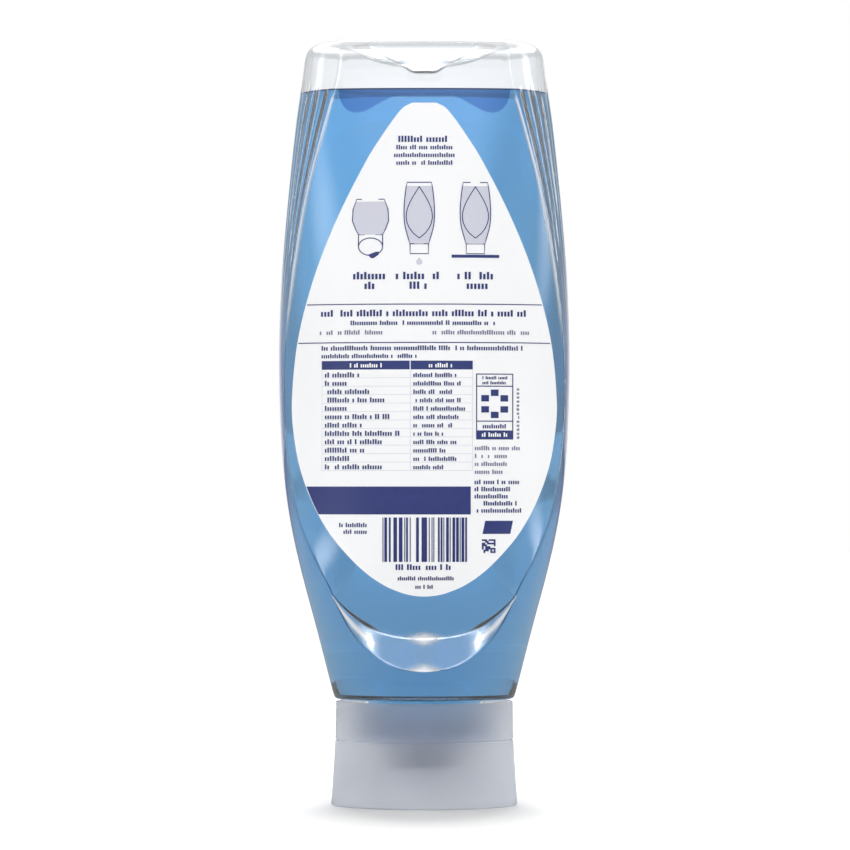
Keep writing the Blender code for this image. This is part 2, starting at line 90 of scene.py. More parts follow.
def new_material(name):
    finish = bpy.data.materials.new(name)
    finish.use_nodes = True
    finish.node_tree.nodes.clear()
    return finish, finish.node_tree


def level_seen(tree, unseen, mirrored, through, eye):
    """Brightness for rays that only light, rays off gloss, rays through glass and the camera's own."""
    path = add_node(tree, "ShaderNodeLightPath")
    level = unseen
    for ray, value in (("Is Glossy Ray", mirrored), ("Is Transmission Ray", through), ("Is Camera Ray", eye)):
        level = add_node(tree, "ShaderNodeMix", {"Factor": path.outputs[ray], 2: level, 3: value},
                         data_type="FLOAT").outputs[0]
    return level


# The surround is plain white to the camera. Through the soap it is greyer to the flanks, as a backdrop of
# limited width is, and gloss sees a bright band above it, as of a lit ceiling edge.
world = bpy.data.worlds.new("white surround")
bpy.context.scene.world = world
world.use_nodes = True
world.node_tree.nodes.clear()
surround = world.node_tree
direction = add_node(surround, "ShaderNodeTexCoord")
heading = add_node(surround, "ShaderNodeSeparateXYZ", {0: direction.outputs["Generated"]})
aside = add_node(surround, "ShaderNodeMath", {0: heading.outputs["X"]}, operation="ABSOLUTE")
flank = add_node(surround, "ShaderNodeMapRange", {
    "Value": aside.outputs[0], "From Min": 0.2, "From Max": 0.5, "To Min": 1.0, "To Max": FLANK_LEVEL},
    interpolation_type="SMOOTHSTEP")
left_half = add_node(surround, "ShaderNodeMapRange", {
    "Value": heading.outputs["X"], "From Min": -0.17, "From Max": -0.06, "To Min": LEFT_LEVEL, "To Max": 1.0},
    interpolation_type="SMOOTHSTEP")
backdrop_light = add_node(surround, "ShaderNodeMath", {
    0: left_half.outputs[0], 1: flank.outputs[0]}, operation="MULTIPLY")
backdrop_edge = add_node(surround, "ShaderNodeMapRange", {
    "Value": heading.outputs["Z"], "From Min": 0.1, "From Max": 0.13, "To Min": 0.0, "To Max": 1.0},
    interpolation_type="SMOOTHSTEP")
carried = add_node(surround, "ShaderNodeMix", {
    "Factor": backdrop_edge.outputs[0], 2: backdrop_light.outputs[0], 3: WALL_LEVEL}, data_type="FLOAT")
ring_foot = add_node(surround, "ShaderNodeMapRange", {
    "Value": heading.outputs["Z"], "From Min": 0.28, "From Max": 0.42, "To Min": 0.0, "To Max": RING_LEVEL},
    interpolation_type="SMOOTHSTEP")
ring_top = add_node(surround, "ShaderNodeMapRange", {
    "Value": heading.outputs["Z"], "From Min": 0.50, "From Max": 0.62, "To Min": 1.0, "To Max": 0.22},
    interpolation_type="SMOOTHSTEP")
ring = add_node(surround, "ShaderNodeMath", {
    0: ring_foot.outputs[0], 1: ring_top.outputs[0], 2: flank.outputs[0]}, operation="MULTIPLY_ADD")
brightness = level_seen(surround, AMBIENT_LEVEL, ring.outputs[0], carried.outputs[0], 1.0)
backdrop = add_node(surround, "ShaderNodeBackground", {"Color": linear("#ffffff"), "Strength": brightness})
add_node(surround, "ShaderNodeOutputWorld", {"Surface": backdrop.outputs[0]})

floor_mesh = bpy.data.meshes.new("floor")
corners = [(x * FLOOR_HALF, y * FLOOR_HALF, -FLOOR_DROP) for x, y in ((-1, -1), (1, -1), (1, 1), (-1, 1))]
floor_mesh.from_pydata(corners, [], [(0, 1, 2, 3)])
floor = bpy.data.objects.new("floor", floor_mesh)
bpy.context.scene.collection.objects.link(floor)
# Matt white sweep with a glow. The glow is held back round the cap's foot and along a strip front and back
# of it, which paints a soft shadow there, and rises away from the bottle so the far floor is white. In gloss
# and through glass the floor is painted a darker grey with an even glow.
floor_finish, tree = new_material("white studio floor")
place = add_node(tree, "ShaderNodeTexCoord")
# Painted shadow: no glow close round the cap's foot, over an ellipse three times as long front to back as
# across.
squeezed = add_node(tree, "ShaderNodeVectorMath", {
    0: place.outputs["Object"], 1: (1.0, 0.33, 1.0)}, operation="MULTIPLY")
reach = add_node(tree, "ShaderNodeVectorMath", {0: squeezed.outputs[0]}, operation="LENGTH")
near = add_node(tree, "ShaderNodeMapRange", {
    "Value": reach.outputs["Value"], "From Min": 0.018, "From Max": 0.042, "To Min": 0.0, "To Max": 0.34},
    interpolation_type="SMOOTHSTEP")
far = add_node(tree, "ShaderNodeMapRange", {
    "Value": reach.outputs["Value"], "From Min": 0.05, "From Max": 0.9, "To Min": 0.0, "To Max": 0.16},
    interpolation_type="SMOOTHSTEP")
glow_outside_painted_shadow = add_node(tree, "ShaderNodeMath", {0: near.outputs[0], 1: far.outputs[0]}, operation="ADD")
path = add_node(tree, "ShaderNodeLightPath")
bent = add_node(tree, "ShaderNodeMath", {
    0: path.outputs["Is Transmission Ray"], 1: path.outputs["Is Glossy Ray"]}, operation="MAXIMUM")
paint = add_node(tree, "ShaderNodeMix", {
    "Factor": bent.outputs[0], 6: linear("#ececec"), 7: linear("#8a8a8a")}, data_type="RGBA")
matt = add_node(tree, "ShaderNodeBsdfDiffuse", {"Color": paint.outputs[2]})
glow = level_seen(tree, 0.0, 0.1, 0.5, glow_outside_painted_shadow.outputs[0])
lift = add_node(tree, "ShaderNodeEmission", {"Color": linear("#ffffff"), "Strength": glow})
both = add_node(tree, "ShaderNodeAddShader", {0: matt.outputs[0], 1: lift.outputs[0]})
add_node(tree, "ShaderNodeOutputMaterial", {"Surface": both.outputs[0]})
floor_mesh.materials.append(floor_finish)

# A grey card close behind the lower body, seen only through the soap, deepens its blue there. It is part of
# the studio and fades out at its top.
card_mesh = bpy.data.meshes.new("grey card")
corners = [(x * CARD_HALF, CARD_Y, z * CARD_TOP) for x, z in ((-1, 0), (1, 0), (1, 1), (-1, 1))]
card_mesh.from_pydata(corners, [], [(0, 1, 2, 3)])
card = bpy.data.objects.new("grey card", card_mesh)
bpy.context.scene.collection.objects.link(card)
card.visible_camera = False
card.visible_diffuse = False
card.visible_glossy = False
card.visible_shadow = False
card_finish, tree = new_material("grey card")
place = add_node(tree, "ShaderNodeTexCoord")
spot = add_node(tree, "ShaderNodeSeparateXYZ", {0: place.outputs["Object"]})
card_edge = add_node(tree, "ShaderNodeMapRange", {
    "Value": spot.outputs["Z"], "From Min": CARD_TOP - CARD_FADE, "From Max": CARD_TOP},
    interpolation_type="SMOOTHSTEP")
card_glow = add_node(tree, "ShaderNodeEmission", {"Color": linear("#ffffff"), "Strength": CARD_LEVEL})
clear = add_node(tree, "ShaderNodeBsdfTransparent")
both = add_node(tree, "ShaderNodeMixShader", {
    0: card_edge.outputs[0], 1: card_glow.outputs[0], 2: clear.outputs[0]})
add_node(tree, "ShaderNodeOutputMaterial", {"Surface": both.outputs[0]})
card_mesh.materials.append(card_finish)

camera_data = bpy.data.cameras.new("camera")
camera_data.sensor_width = SENSOR_WIDTH
camera_data.lens = SENSOR_WIDTH * CAMERA_DISTANCE / FRAME_WIDTH_AT_BOTTLE
camera = bpy.data.objects.new("camera", camera_data)
camera.location = (AIM.x, -CAMERA_DISTANCE, CAMERA_HEIGHT)
camera.rotation_euler = (AIM - camera.location).to_track_quat("-Z", "Y").to_euler()
bpy.context.scene.collection.objects.link(camera)
bpy.context.scene.camera = camera

# Lamps: name, place, width and height in metres, watts, and whether only gloss sees the lamp.
for lamp_name, place, width, height, watts, gloss_only in (
        ("left softbox", (-0.85, -0.85, 0.45), 0.6, 0.9, 10.0, False),
        ("right softbox", (0.95, -0.55, 0.4), 0.4, 0.9, 7.0, False),
        ("left edge panel", (-0.9, 0.42, 0.2), 0.35, 0.9, 4.0, True),
        ("right edge panel", (0.9, 0.36, 0.2), 0.35, 0.9, 7.0, True),
        ("high front softbox", (0.0, -1.15, 0.66), 0.5, 0.2, 6.0, True),
        ("overhead softbox", (0.0, 0.5, 0.95), 0.5, 0.5, 12.0, False)):
    lamp_data = bpy.data.lights.new(lamp_name, "AREA")
    lamp_data.shape = "RECTANGLE"
    lamp_data.size = width
    lamp_data.size_y = height
    lamp_data.energy = watts
    lamp_data.use_nodes = True
    lamp_data.node_tree.nodes.clear()
    face = add_node(lamp_data.node_tree, "ShaderNodeNewGeometry")
    off_centre = add_node(lamp_data.node_tree, "ShaderNodeVectorMath",
                          {0: face.outputs["Parametric"], 1: (0.5, 0.5, 0)}, operation="DISTANCE")
    fall = add_node(lamp_data.node_tree, "ShaderNodeMapRange", {
        "Value": off_centre.outputs["Value"], "From Min": 0.5, "From Max": 0.1, "To Min": 0.0, "To Max": 1.0},
        interpolation_type="SMOOTHSTEP")
    light = add_node(lamp_data.node_tree, "ShaderNodeEmission", {"Strength": fall.outputs[0]})
    add_node(lamp_data.node_tree, "ShaderNodeOutputLight", {"Surface": light.outputs[0]})
    lamp = bpy.data.objects.new(lamp_name, lamp_data)
    lamp.location = place
    lamp.visible_diffuse = not gloss_only
    lamp.visible_transmission = False
    lamp.rotation_euler = (Vector((0, 0, 0.11)) - lamp.location).to_track_quat("-Z", "Y").to_euler()
    bpy.context.scene.collection.objects.link(lamp)

bpy.context.scene.view_settings.view_transform = "Standard"


# Bottle: one extrusion-blown PET shell, a round cone flattened by a teardrop panel front and back.
# Grip flutes run down the narrow sides, a ledge curves under each panel, and the base is dished.
bottle_low, bottle_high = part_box("bottle")
cap_low, cap_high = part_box("cap")
BODY_WIDTH = bottle_high.x - bottle_low.x
PANEL_CROWN = 28.2 * MM
SHOULDER_Z = cap_high.z + 0.5 * MM
SHOULDER_RADIUS = 27.5 * MM
SHOULDER_CORNER = 1.5 * MM
BODY_HEIGHT = bottle_high.z - SHOULDER_Z
BODY_WALL = 0.7 * MM
NECK_RADIUS = 16.8 * MM
NECK_WALL = 1.8 * MM
NECK_FILLET = 0.8 * MM
MOUTH_Z = bottle_low.z
BASE_EDGE = 9 * MM
DISH_DEPTH = 6.2 * MM
NUB_DEPTH = 2.2 * MM
NUB_TOP = 6.8 * MM
NUB_TIP = 3.4 * MM
FLUTE_DEPTH = 0.75 * MM
LEDGE_UPPER_RISE = 13.3 * MM
LEDGE_LOWER_RISE = 22.1 * MM
LEDGE_SPREAD = 1.0 * MM
RIM_SHARE = 0.70
BASE_EDGE_POWER = 0.55
# Tables of (share of the body's height, share): half width, roundness of the cone's depth, height of the
# panel's crown, and place of the crease between panel and side.
WIDTH_SHARES = (
    (0.000, 0.620), (0.056, 0.681), (0.117, 0.752), (0.179, 0.828), (0.240, 0.893), (0.302, 0.945),
    (0.362, 0.976), (0.430, 0.992), (0.516, 1.000), (0.607, 0.990), (0.701, 0.962), (0.793, 0.924),
    (0.884, 0.880), (0.956, 0.832), (1.000, 0.800),
)
OVAL_SHARES = (
    (0.00, 1.00), (0.05, 1.02), (0.11, 1.055), (0.16, 1.09), (0.26, 1.12), (0.52, 1.08), (0.74, 1.00),
    (0.92, 0.955), (1.00, 0.955),
)
CROWN_SHARES = (
    (0.09, 0.870), (0.13, 0.912), (0.16, 0.943), (0.22, 0.978), (0.30, 0.996), (0.45, 1.000),
    (0.75, 1.000), (0.95, 0.990), (1.00, 0.985),
)
CREASE_SHARES = (
    (0.160, 0.770), (0.256, 0.912), (0.367, 0.955), (0.453, 0.966), (0.578, 0.942), (0.732, 0.880),
    (0.782, 0.850), (0.852, 0.782), (0.899, 0.735), (0.932, 0.702), (1.000, 0.690),
)
PANEL_POWER = 2.5
PANEL_COLUMNS = (0, 0.2, 0.4, 0.6, 0.8, 0.93, 1)
# Where the four flutes lie on a side, and where the flutes, the painted shade in them, the ledge's painted
# dark lines and the painted highlight fade.
FLUTES = (0.13, 0.31, 0.51, 0.76)
FLUTE_HALF_SHARE = 0.035
FLUTE_FADE = (0.58, 0.80)
FLUTE_END = (0.912, 0.925)
GROOVE_FADE = (0.48, 0.80)
UPPER_LINE = (0.15, 0.55)
LOWER_LINE = (0.45, 0.75)
LEDGE_GLEAM = (0.2, 0.8)
CREASE_GLEAM = 0.8
CREASE_FADE = (0.42, 0.64)
LEVEL_ROWS = (
    0.955, 0.925, 0.907, 0.88, 0.84, 0.79, 0.74, 0.69, 0.64,
    0.59, 0.54, 0.49, 0.44, 0.39, 0.34, 0.29, 0.25, 0.22,
)
BASE_ROWS = 11
TIP_SHARE = 0.1604
UPPER_ARC = 0.62
LOWER_ARC = 0.41
TIP_Z = SHOULDER_Z + TIP_SHARE * BODY_HEIGHT


def follow(table, place):
    """Value at a place in a table of (place, value) rows, on a smooth curve through them."""
    last = len(table) - 1

    def slope(row):
        low = max(row - 1, 0)
        high = min(row + 1, last)
        return (table[high][1] - table[low][1]) / (table[high][0] - table[low][0])

    row = 0
    while row < last - 1 and place > table[row + 1][0]:
        row += 1
    span = table[row + 1][0] - table[row][0]
    t = min(max((place - table[row][0]) / span, 0), 1)
    start_pull = (t ** 3 - 2 * t ** 2 + t) * span * slope(row)
    end_pull = (t ** 3 - t ** 2) * span * slope(row + 1)
    rise = 3 * t ** 2 - 2 * t ** 3
    return table[row][1] * (1 - rise) + table[row + 1][1] * rise + start_pull + end_pull


def share_of_body(z):
    return (z - SHOULDER_Z) / BODY_HEIGHT


def half_width(z):
    return follow(WIDTH_SHARES, share_of_body(z)) * BODY_WIDTH / 2


def oval_y(x, z):
    """Depth of the side's oval at x, as it would be without a panel."""
    reach = half_width(z)
    return reach * follow(OVAL_SHARES, share_of_body(z)) * math.sqrt(max(0, 1 - (x / reach) ** 2))


def crease_x(z):
    """Where the crease between panel and side runs."""
    return follow(CREASE_SHARES, share_of_body(z)) * half_width(z)


def panel_y(x, z):
    """Depth of the panel at x: a crown in the middle that falls to meet the side."""
    at = max(z, TIP_Z)
    edge = crease_x(at)
    fall = PANEL_CROWN * follow(CROWN_SHARES, share_of_body(at)) - oval_y(edge, at)
    crown = PANEL_CROWN * follow(CROWN_SHARES, share_of_body(z))
    return crown - fall * (abs(x) / edge) ** PANEL_POWER


def side_columns():
    """Shares of the side from the crease to the middle plane, and how deep in a flute each lies."""
    columns = [(0.045, 0)]
    for before, share in zip((None, *FLUTES), FLUTES):
        if before is not None:
            columns.append(((before + share) / 2, 0))
        columns.append((share - FLUTE_HALF_SHARE, 0.1))
        columns.append((share, 1))
        columns.append((share + FLUTE_HALF_SHARE, 0.1))
    columns.append(((FLUTES[-1] + 1) / 2, 0))
    columns.append((1, 0))
    return columns


SIDE_COLUMNS = side_columns()


def soft_step(low, high, value):
    """0 below the low value and 1 above the high one, with a smooth rise between them."""
    t = min(max((value - low) / (high - low), 0), 1)
    return t * t * (3 - 2 * t)


def flute_fade(z):
    """Flutes are full near the base, end at its rounded edge and run out down the body."""
    share = share_of_body(z)
    return soft_step(*FLUTE_FADE, share) * (1 - soft_step(*FLUTE_END, share))


def side_point(share, flute, z):
    """A point on the side, some share of the way from the crease round to the middle plane."""
    inward = FLUTE_DEPTH * flute * flute_fade(z)
    reach = half_width(z)
    at = max(z, TIP_Z)
    start = math.asin(crease_x(at) / half_width(at))
    angle = start + share * (math.pi / 2 - start)
    deep = reach * follow(OVAL_SHARES, share_of_body(z))
    return (reach - inward) * math.sin(angle), (deep - inward) * math.cos(angle)


def turned_row(radius, z):
    """A round row of base, shoulder or neck, with the columns of the body's rows."""
    start = math.asin(follow(CREASE_SHARES, TIP_SHARE))
    points = []
    for share in PANEL_COLUMNS:
        x = share * radius * math.sin(start)
        points.append((x, -math.sqrt(radius ** 2 - x ** 2), z))
    for share, flute in SIDE_COLUMNS:
        angle = start + share * (math.pi / 2 - start)
        points.append((radius * math.sin(angle), -radius * math.cos(angle), z))
    return points


def level_row(z):
    """A level row of the body: the columns of the panel, then those of the side."""
    points = [(share * crease_x(z), -panel_y(share * crease_x(z), z), z) for share in PANEL_COLUMNS]
    for share, flute in SIDE_COLUMNS:
        x, y = side_point(share, flute, z)
        points.append((x, -y, z))
    return points


def ledge_row(side_z, bend, on_panel):
    """A row level on the sides that sinks in the middle; at bend 1 it is a line of the ledge.

    It starts where the side's own columns start, so the skin never folds over itself there.
    """
    rise, arc = (LEDGE_UPPER_RISE, UPPER_ARC) if on_panel else (LEDGE_LOWER_RISE, LOWER_ARC)
    edge = crease_x(side_z) if on_panel else follow(CREASE_SHARES, TIP_SHARE) * half_width(side_z)
    points = []
    for share in PANEL_COLUMNS:
        z = side_z - bend * rise * (1 - arc * share ** 2 - (1 - arc) * share ** 4)
        y = panel_y(share * edge, z) if on_panel else oval_y(share * edge, z)
        points.append((share * edge, -y, z))
    for share, flute in SIDE_COLUMNS:
        x, y = side_point(share, flute, side_z)
        points.append((x, -y, side_z))
    return points


def between(row_a, row_b, share):
    return [tuple(p + (q - p) * share for p, q in zip(a, b)) for a, b in zip(row_a, row_b)]


def skin_rows():
    """Rows from the nub's centre out over the base, down the body, round the shoulder and down the neck.

    Each row comes with the sharpness of its line on the finished skin.
    """
    wall_row = level_row(bottle_high.z - BASE_EDGE)
    dish_z = bottle_high.z - DISH_DEPTH
    rows = [(turned_row(NUB_TIP * 0.4, dish_z - NUB_DEPTH), 0)]
    rows.append((turned_row(NUB_TIP, dish_z - NUB_DEPTH), 0.3))
    rows.append((turned_row((NUB_TIP + NUB_TOP) / 2, dish_z - NUB_DEPTH / 2), 0))
    rows.append((turned_row(NUB_TOP, dish_z), 0.3))
    inner = rows[-1][0]
    for out_share, rise_share in ((0.3, 0.1), (0.6, 0.42), (0.84, 0.8)):
        z = dish_z + DISH_DEPTH * rise_share
        rim = [(x * RIM_SHARE, y * RIM_SHARE, z) for x, y, level in wall_row]
        rows.append((between([(x, y, z) for x, y, level in inner], rim, out_share), 0))
    for degrees in (90, 67, 45, 22):
        turn = math.radians(degrees)
        inset = 1 - (1 - RIM_SHARE) * (1 - math.cos(turn) ** BASE_EDGE_POWER)
        z = bottle_high.z - BASE_EDGE + BASE_EDGE * math.sin(turn) ** BASE_EDGE_POWER
        rows.append(([(x * inset, y * inset, z) for x, y, level in wall_row], 0))
    for share in LEVEL_ROWS:
        rows.append((level_row(SHOULDER_Z + share * BODY_HEIGHT), 0))
    last_level = SHOULDER_Z + LEVEL_ROWS[-1] * BODY_HEIGHT
    upper_side = TIP_Z + LEDGE_SPREAD / 2
    lower_side = TIP_Z - LEDGE_SPREAD / 2
    for bend, sharpness in ((0.3, 0), (0.6, 0), (0.85, 0), (1, 0.5)):
        rows.append((ledge_row(last_level + (upper_side - last_level) * bend, bend, True), sharpness))
    upper = rows[-1][0]
    lower = ledge_row(lower_side, 1, False)
    rows.append((between(upper, lower, 0.5), 0))
    rows.append((lower, 0.5))
    round_z = SHOULDER_Z + 0.035 * BODY_HEIGHT
    for bend in (0.8, 0.5, 0.25, 0):
        rows.append((ledge_row(round_z + (lower_side - round_z) * bend, bend, False), 0))
    for degrees in (0, 45, 90):
        turn = math.radians(degrees)
        radius = SHOULDER_RADIUS - SHOULDER_CORNER * (1 - math.cos(turn))
        rows.append((turned_row(radius, SHOULDER_Z + SHOULDER_CORNER * (1 - math.sin(turn))), 0))
    rows.append((turned_row(NECK_RADIUS + 2 * NECK_FILLET, SHOULDER_Z), 0.4))
    rows.append((turned_row(NECK_RADIUS, SHOULDER_Z - NECK_FILLET), 0.4))
    rows.append((turned_row(NECK_RADIUS, (SHOULDER_Z + MOUTH_Z) / 2), 0))
    rows.append((turned_row(NECK_RADIUS, MOUTH_Z + 0.4 * MM), 0.6))
    rows.append((turned_row(NECK_RADIUS - 0.4 * MM, MOUTH_Z), 0.6))
    return rows


def link_piece(name, mesh):
    piece = bpy.data.objects.new(name, mesh)
    bpy.context.scene.collection.objects.link(piece)
    return piece


def settled(piece):
    """The piece's mesh with its modifiers applied; the piece itself is removed."""
    bpy.context.view_layer.update()
    mesh = bpy.data.meshes.new_from_object(piece.evaluated_get(bpy.context.evaluated_depsgraph_get()))
    bpy.data.objects.remove(piece)
    return mesh


def outwards(build):
    """Points the faces of a skin outwards."""
    bmesh.ops.recalc_face_normals(build, faces=build.faces)
    if build.calc_volume(signed=True) < 0:
        bmesh.ops.reverse_faces(build, faces=build.faces)


def body_skin():
    """The outer skin, open at the mouth: a quarter cage, mirrored twice and subdivided.

    Its attributes mark the flutes' valleys and the ledge's two lines, where shade is painted, and where a
    highlight is painted.
    """
    rows = skin_rows()
    build = bmesh.new()
    crease = build.edges.layers.float.new("crease_edge")
    groove = build.verts.layers.float.new("groove")
    painted_dark_line = build.verts.layers.float.new("painted_dark_line")
    painted_gleam = build.verts.layers.float.new("painted_gleam")
    centre = build.verts.new((0, 0, rows[0][0][0][2]))
    grid = []
    for row, sharpness in rows:
        last = len(row) - 1
        grid.append([build.verts.new((x if i else 0, y if i < last else 0, z))
                     for i, (x, y, z) in enumerate(row)])
        # The groove share also places the soap's painted shade in the flutes' valleys.
        for vertex, (share, flute) in zip(grid[-1][len(PANEL_COLUMNS):], SIDE_COLUMNS):
            vertex[groove] = flute * soft_step(*GROOVE_FADE, share_of_body(vertex.co.z))
    for first, second in zip(grid[0], grid[0][1:]):
        build.faces.new((centre, first, second))
    for upper, lower in zip(grid, grid[1:]):
        for i in range(len(upper) - 1):
            build.faces.new((upper[i], lower[i], lower[i + 1], upper[i + 1]))
    for (row, sharpness), verts in zip(rows, grid):
        for first, second in zip(verts, verts[1:]):
            build.edges.get((first, second))[crease] = sharpness
    panel_edge = len(PANEL_COLUMNS) - 1
    first_level = BASE_ROWS
    tip_row = first_level + len(LEVEL_ROWS) + 4
    for index in range(first_level - 3, tip_row):
        share = min(1.0, max(0.0, (index - first_level + 3) / 3))
        build.edges.get((grid[index][panel_edge], grid[index + 1][panel_edge]))[crease] = 0.25 * share
    # Painted shade and highlight: dark lines along the ledge's two lines, strongest toward the tips, and a
    # highlight at the middle of each.
    for row, start in ((tip_row - 1, UPPER_LINE), (tip_row + 1, LOWER_LINE)):
        for vertex, share in zip(grid[row], PANEL_COLUMNS):
            vertex[painted_dark_line] = soft_step(*start, share)
            vertex[painted_gleam] = 1 - soft_step(0, 0.4, share)
    # Painted highlight along the ledge's middle row toward its tips, and after it down the crease.
    for vertex, share in zip(grid[tip_row], PANEL_COLUMNS):
        vertex[painted_gleam] = soft_step(*LEDGE_GLEAM, share)
    for row, level in enumerate(LEVEL_ROWS):
        if level < FLUTE_END[0]:
            grid[first_level + row][panel_edge][painted_gleam] = CREASE_GLEAM * soft_step(*CREASE_FADE, level)
    mesh = bpy.data.meshes.new("skin")
    build.to_mesh(mesh)
    build.free()
    cage = link_piece("skin", mesh)
    mirror = cage.modifiers.new("quarters", "MIRROR")
    mirror.use_axis = (True, True, False)
    mirror.merge_threshold = 0.01 * MM
    smooth = cage.modifiers.new("smooth", "SUBSURF")
    smooth.levels = 2
    smooth.render_levels = 2
    smooth.boundary_smooth = "PRESERVE_CORNERS"
    skin = settled(cage)
    build = bmesh.new()
    build.from_mesh(skin)
    outwards(build)
    build.to_mesh(skin)
    build.free()
    return skin


def wall_at(z):
    """How thick the blown wall is: thicker in the neck."""
    return NECK_WALL if z < SHOULDER_Z + SHOULDER_CORNER / 3 else BODY_WALL


skin = body_skin()
bottle = link_piece("bottle_shell", skin.copy())
walls = bottle.vertex_groups.new(name="wall share")
for vertex in bottle.data.vertices:
    walls.add([vertex.index], wall_at(vertex.co.z) / NECK_WALL, "REPLACE")
wall = bottle.modifiers.new("wall", "SOLIDIFY")
wall.thickness = NECK_WALL
wall.offset = -1
wall.vertex_group = walls.name
bottle = link_piece("bottle_shell", settled(bottle))
bottle.data.shade_smooth()

# Clear PET, blown: water clear and glossy, with a slow ripple where the wall thins and thickens. On the
# labelled side a highlight is painted along the ledge and the crease: less passes through there and the
# surface is white.
RIPPLE = 18.1818 * MM
pet, tree = new_material("clear blown PET")
place = add_node(tree, "ShaderNodeTexCoord")
ripple = add_node(tree, "ShaderNodeTexNoise", {
    "Vector": place.outputs["Object"], "Scale": 1 / RIPPLE, "Detail": 2.0})
bump = add_node(tree, "ShaderNodeBump", {
    "Strength": 0.12, "Distance": 0.4 * MM, "Height": ripple.outputs["Fac"]})
# Painted highlight on the ledge and the crease, on the labelled side only (Object y below 0).
gleam_share = add_node(tree, "ShaderNodeAttribute", attribute_name="painted_gleam")
spot = add_node(tree, "ShaderNodeSeparateXYZ", {0: place.outputs["Object"]})
facing = add_node(tree, "ShaderNodeMath", {0: spot.outputs["Y"], 1: 0.0}, operation="LESS_THAN")
front_share = add_node(tree, "ShaderNodeMath", {0: gleam_share.outputs["Fac"], 1: facing.outputs[0]},
                       operation="MULTIPLY")
gleam = add_node(tree, "ShaderNodeMapRange", {
    "Value": front_share.outputs[0], "From Min": 0.35, "From Max": 0.9, "To Min": 1.0, "To Max": 0.35},
    interpolation_type="SMOOTHSTEP")
shader = add_node(tree, "ShaderNodeBsdfPrincipled", {
    "Base Color": linear("#fbfdff"), "Roughness": 0.03, "IOR": 1.5, "Transmission Weight": gleam.outputs[0],
    "Normal": bump.outputs[0]})
add_node(tree, "ShaderNodeOutputMaterial", {"Surface": shader.outputs[0]})
bottle.data.materials.clear()
bottle.data.materials.append(pet)
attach(bottle, "bottle")
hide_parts("bottle")


# Soap: a clear blue liquid that fills the shell to just under the base, with a small curl at the wall.
# It reaches a little into the wall, so no air gap shows between them.
liquid_low, liquid_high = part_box("liquid")
WALL_OVERLAP = 0.15 * MM
FILL_Z = liquid_high.z - 0.9 * MM
CURL = 0.45 * MM


def liquid_mesh():
    """The skin's inside, cut at the fill line and in the neck, with its rim curled up the wall."""
    build = bmesh.new()
    build.from_mesh(skin)
    build.normal_update()
    moved = [v.co - v.normal * (wall_at(v.co.z) - WALL_OVERLAP) for v in build.verts]
    for vertex, spot in zip(build.verts, moved):
        vertex.co = spot
    for spot, out in (((0, 0, FILL_Z + CURL), (0, 0, 1)), ((0, 0, liquid_low.z), (0, 0, -1))):
        everything = build.verts[:] + build.edges[:] + build.faces[:]
        bmesh.ops.bisect_plane(build, geom=everything, plane_co=spot, plane_no=out, clear_outer=True)
    low_rim = [e for e in build.edges if e.is_boundary and e.verts[0].co.z < SHOULDER_Z]
    bmesh.ops.holes_fill(build, edges=low_rim)
    rim = [e for e in build.edges if e.is_boundary]
    for inset, drop in ((0.2 * MM, 0.55 * CURL), (0.5 * MM, 0.4 * CURL), (0.5 * MM, 0.05 * CURL)):
        ring = bmesh.ops.extrude_edge_only(build, edges=rim)["geom"]
        for vertex in (g for g in ring if isinstance(g, bmesh.types.BMVert)):
            flat = Vector((vertex.co.x, vertex.co.y, 0))
            vertex.co -= flat.normalized() * inset
            vertex.co.z -= drop
        rim = [g for g in ring if isinstance(g, bmesh.types.BMEdge)]
    bmesh.ops.holes_fill(build, edges=rim)
    outwards(build)
    mesh = bpy.data.meshes.new("soap")
    build.to_mesh(mesh)
    build.free()
    return mesh


soap = link_piece("soap", liquid_mesh())
soap.data.shade_smooth()
soap.data.set_sharp_from_angle(angle=math.radians(50))
# Blue detergent: the dye deepens with the way through it. On the labelled side its surface also has painted
# shade: dark lines along the ledge and two darker lobes under the fill line. On every side shade is painted
# in the flutes' valleys, a brown-grey where the soap is less clear.
dye, tree = new_material("blue soap")
groove = add_node(tree, "ShaderNodeAttribute", attribute_name="groove")
valley = add_node(tree, "ShaderNodeMapRange", {
    "Value": groove.outputs["Fac"], "From Min": 0.13, "From Max": 0.30}, interpolation_type="SMOOTHSTEP")
# Painted shade in the flutes' valleys: brown-grey, and less clear.
painted_flute_shade = add_node(tree, "ShaderNodeMix", {
    "Factor": valley.outputs[0], 6: linear("#ffffff"), 7: linear("#b29e89")}, data_type="RGBA")
clearness = add_node(tree, "ShaderNodeMapRange", {"Value": valley.outputs[0], "To Min": 1.0, "To Max": 0.25})
# Painted shade: dark lines along the ledge's two lines, on the labelled side only.
line_share = add_node(tree, "ShaderNodeAttribute", attribute_name="painted_dark_line")
line_form = add_node(tree, "ShaderNodeMapRange", {
    "Value": line_share.outputs["Fac"], "From Min": 0.72, "From Max": 0.95, "To Max": 0.95},
    interpolation_type="SMOOTHSTEP")
place = add_node(tree, "ShaderNodeTexCoord")
spot = add_node(tree, "ShaderNodeSeparateXYZ", {0: place.outputs["Object"]})
facing = add_node(tree, "ShaderNodeMath", {0: spot.outputs["Y"], 1: 0.0}, operation="LESS_THAN")
line = add_node(tree, "ShaderNodeMath", {0: line_form.outputs[0], 1: facing.outputs[0]}, operation="MULTIPLY")
painted_ledge_lines = add_node(tree, "ShaderNodeMix", {
    "Factor": line.outputs[0], 6: painted_flute_shade.outputs[2], 7: linear("#382e28")}, data_type="RGBA")
clear_part = add_node(tree, "ShaderNodeMath", {
    0: clearness.outputs[0], 1: line.outputs[0]}, operation="SUBTRACT")
clear_part.use_clamp = True
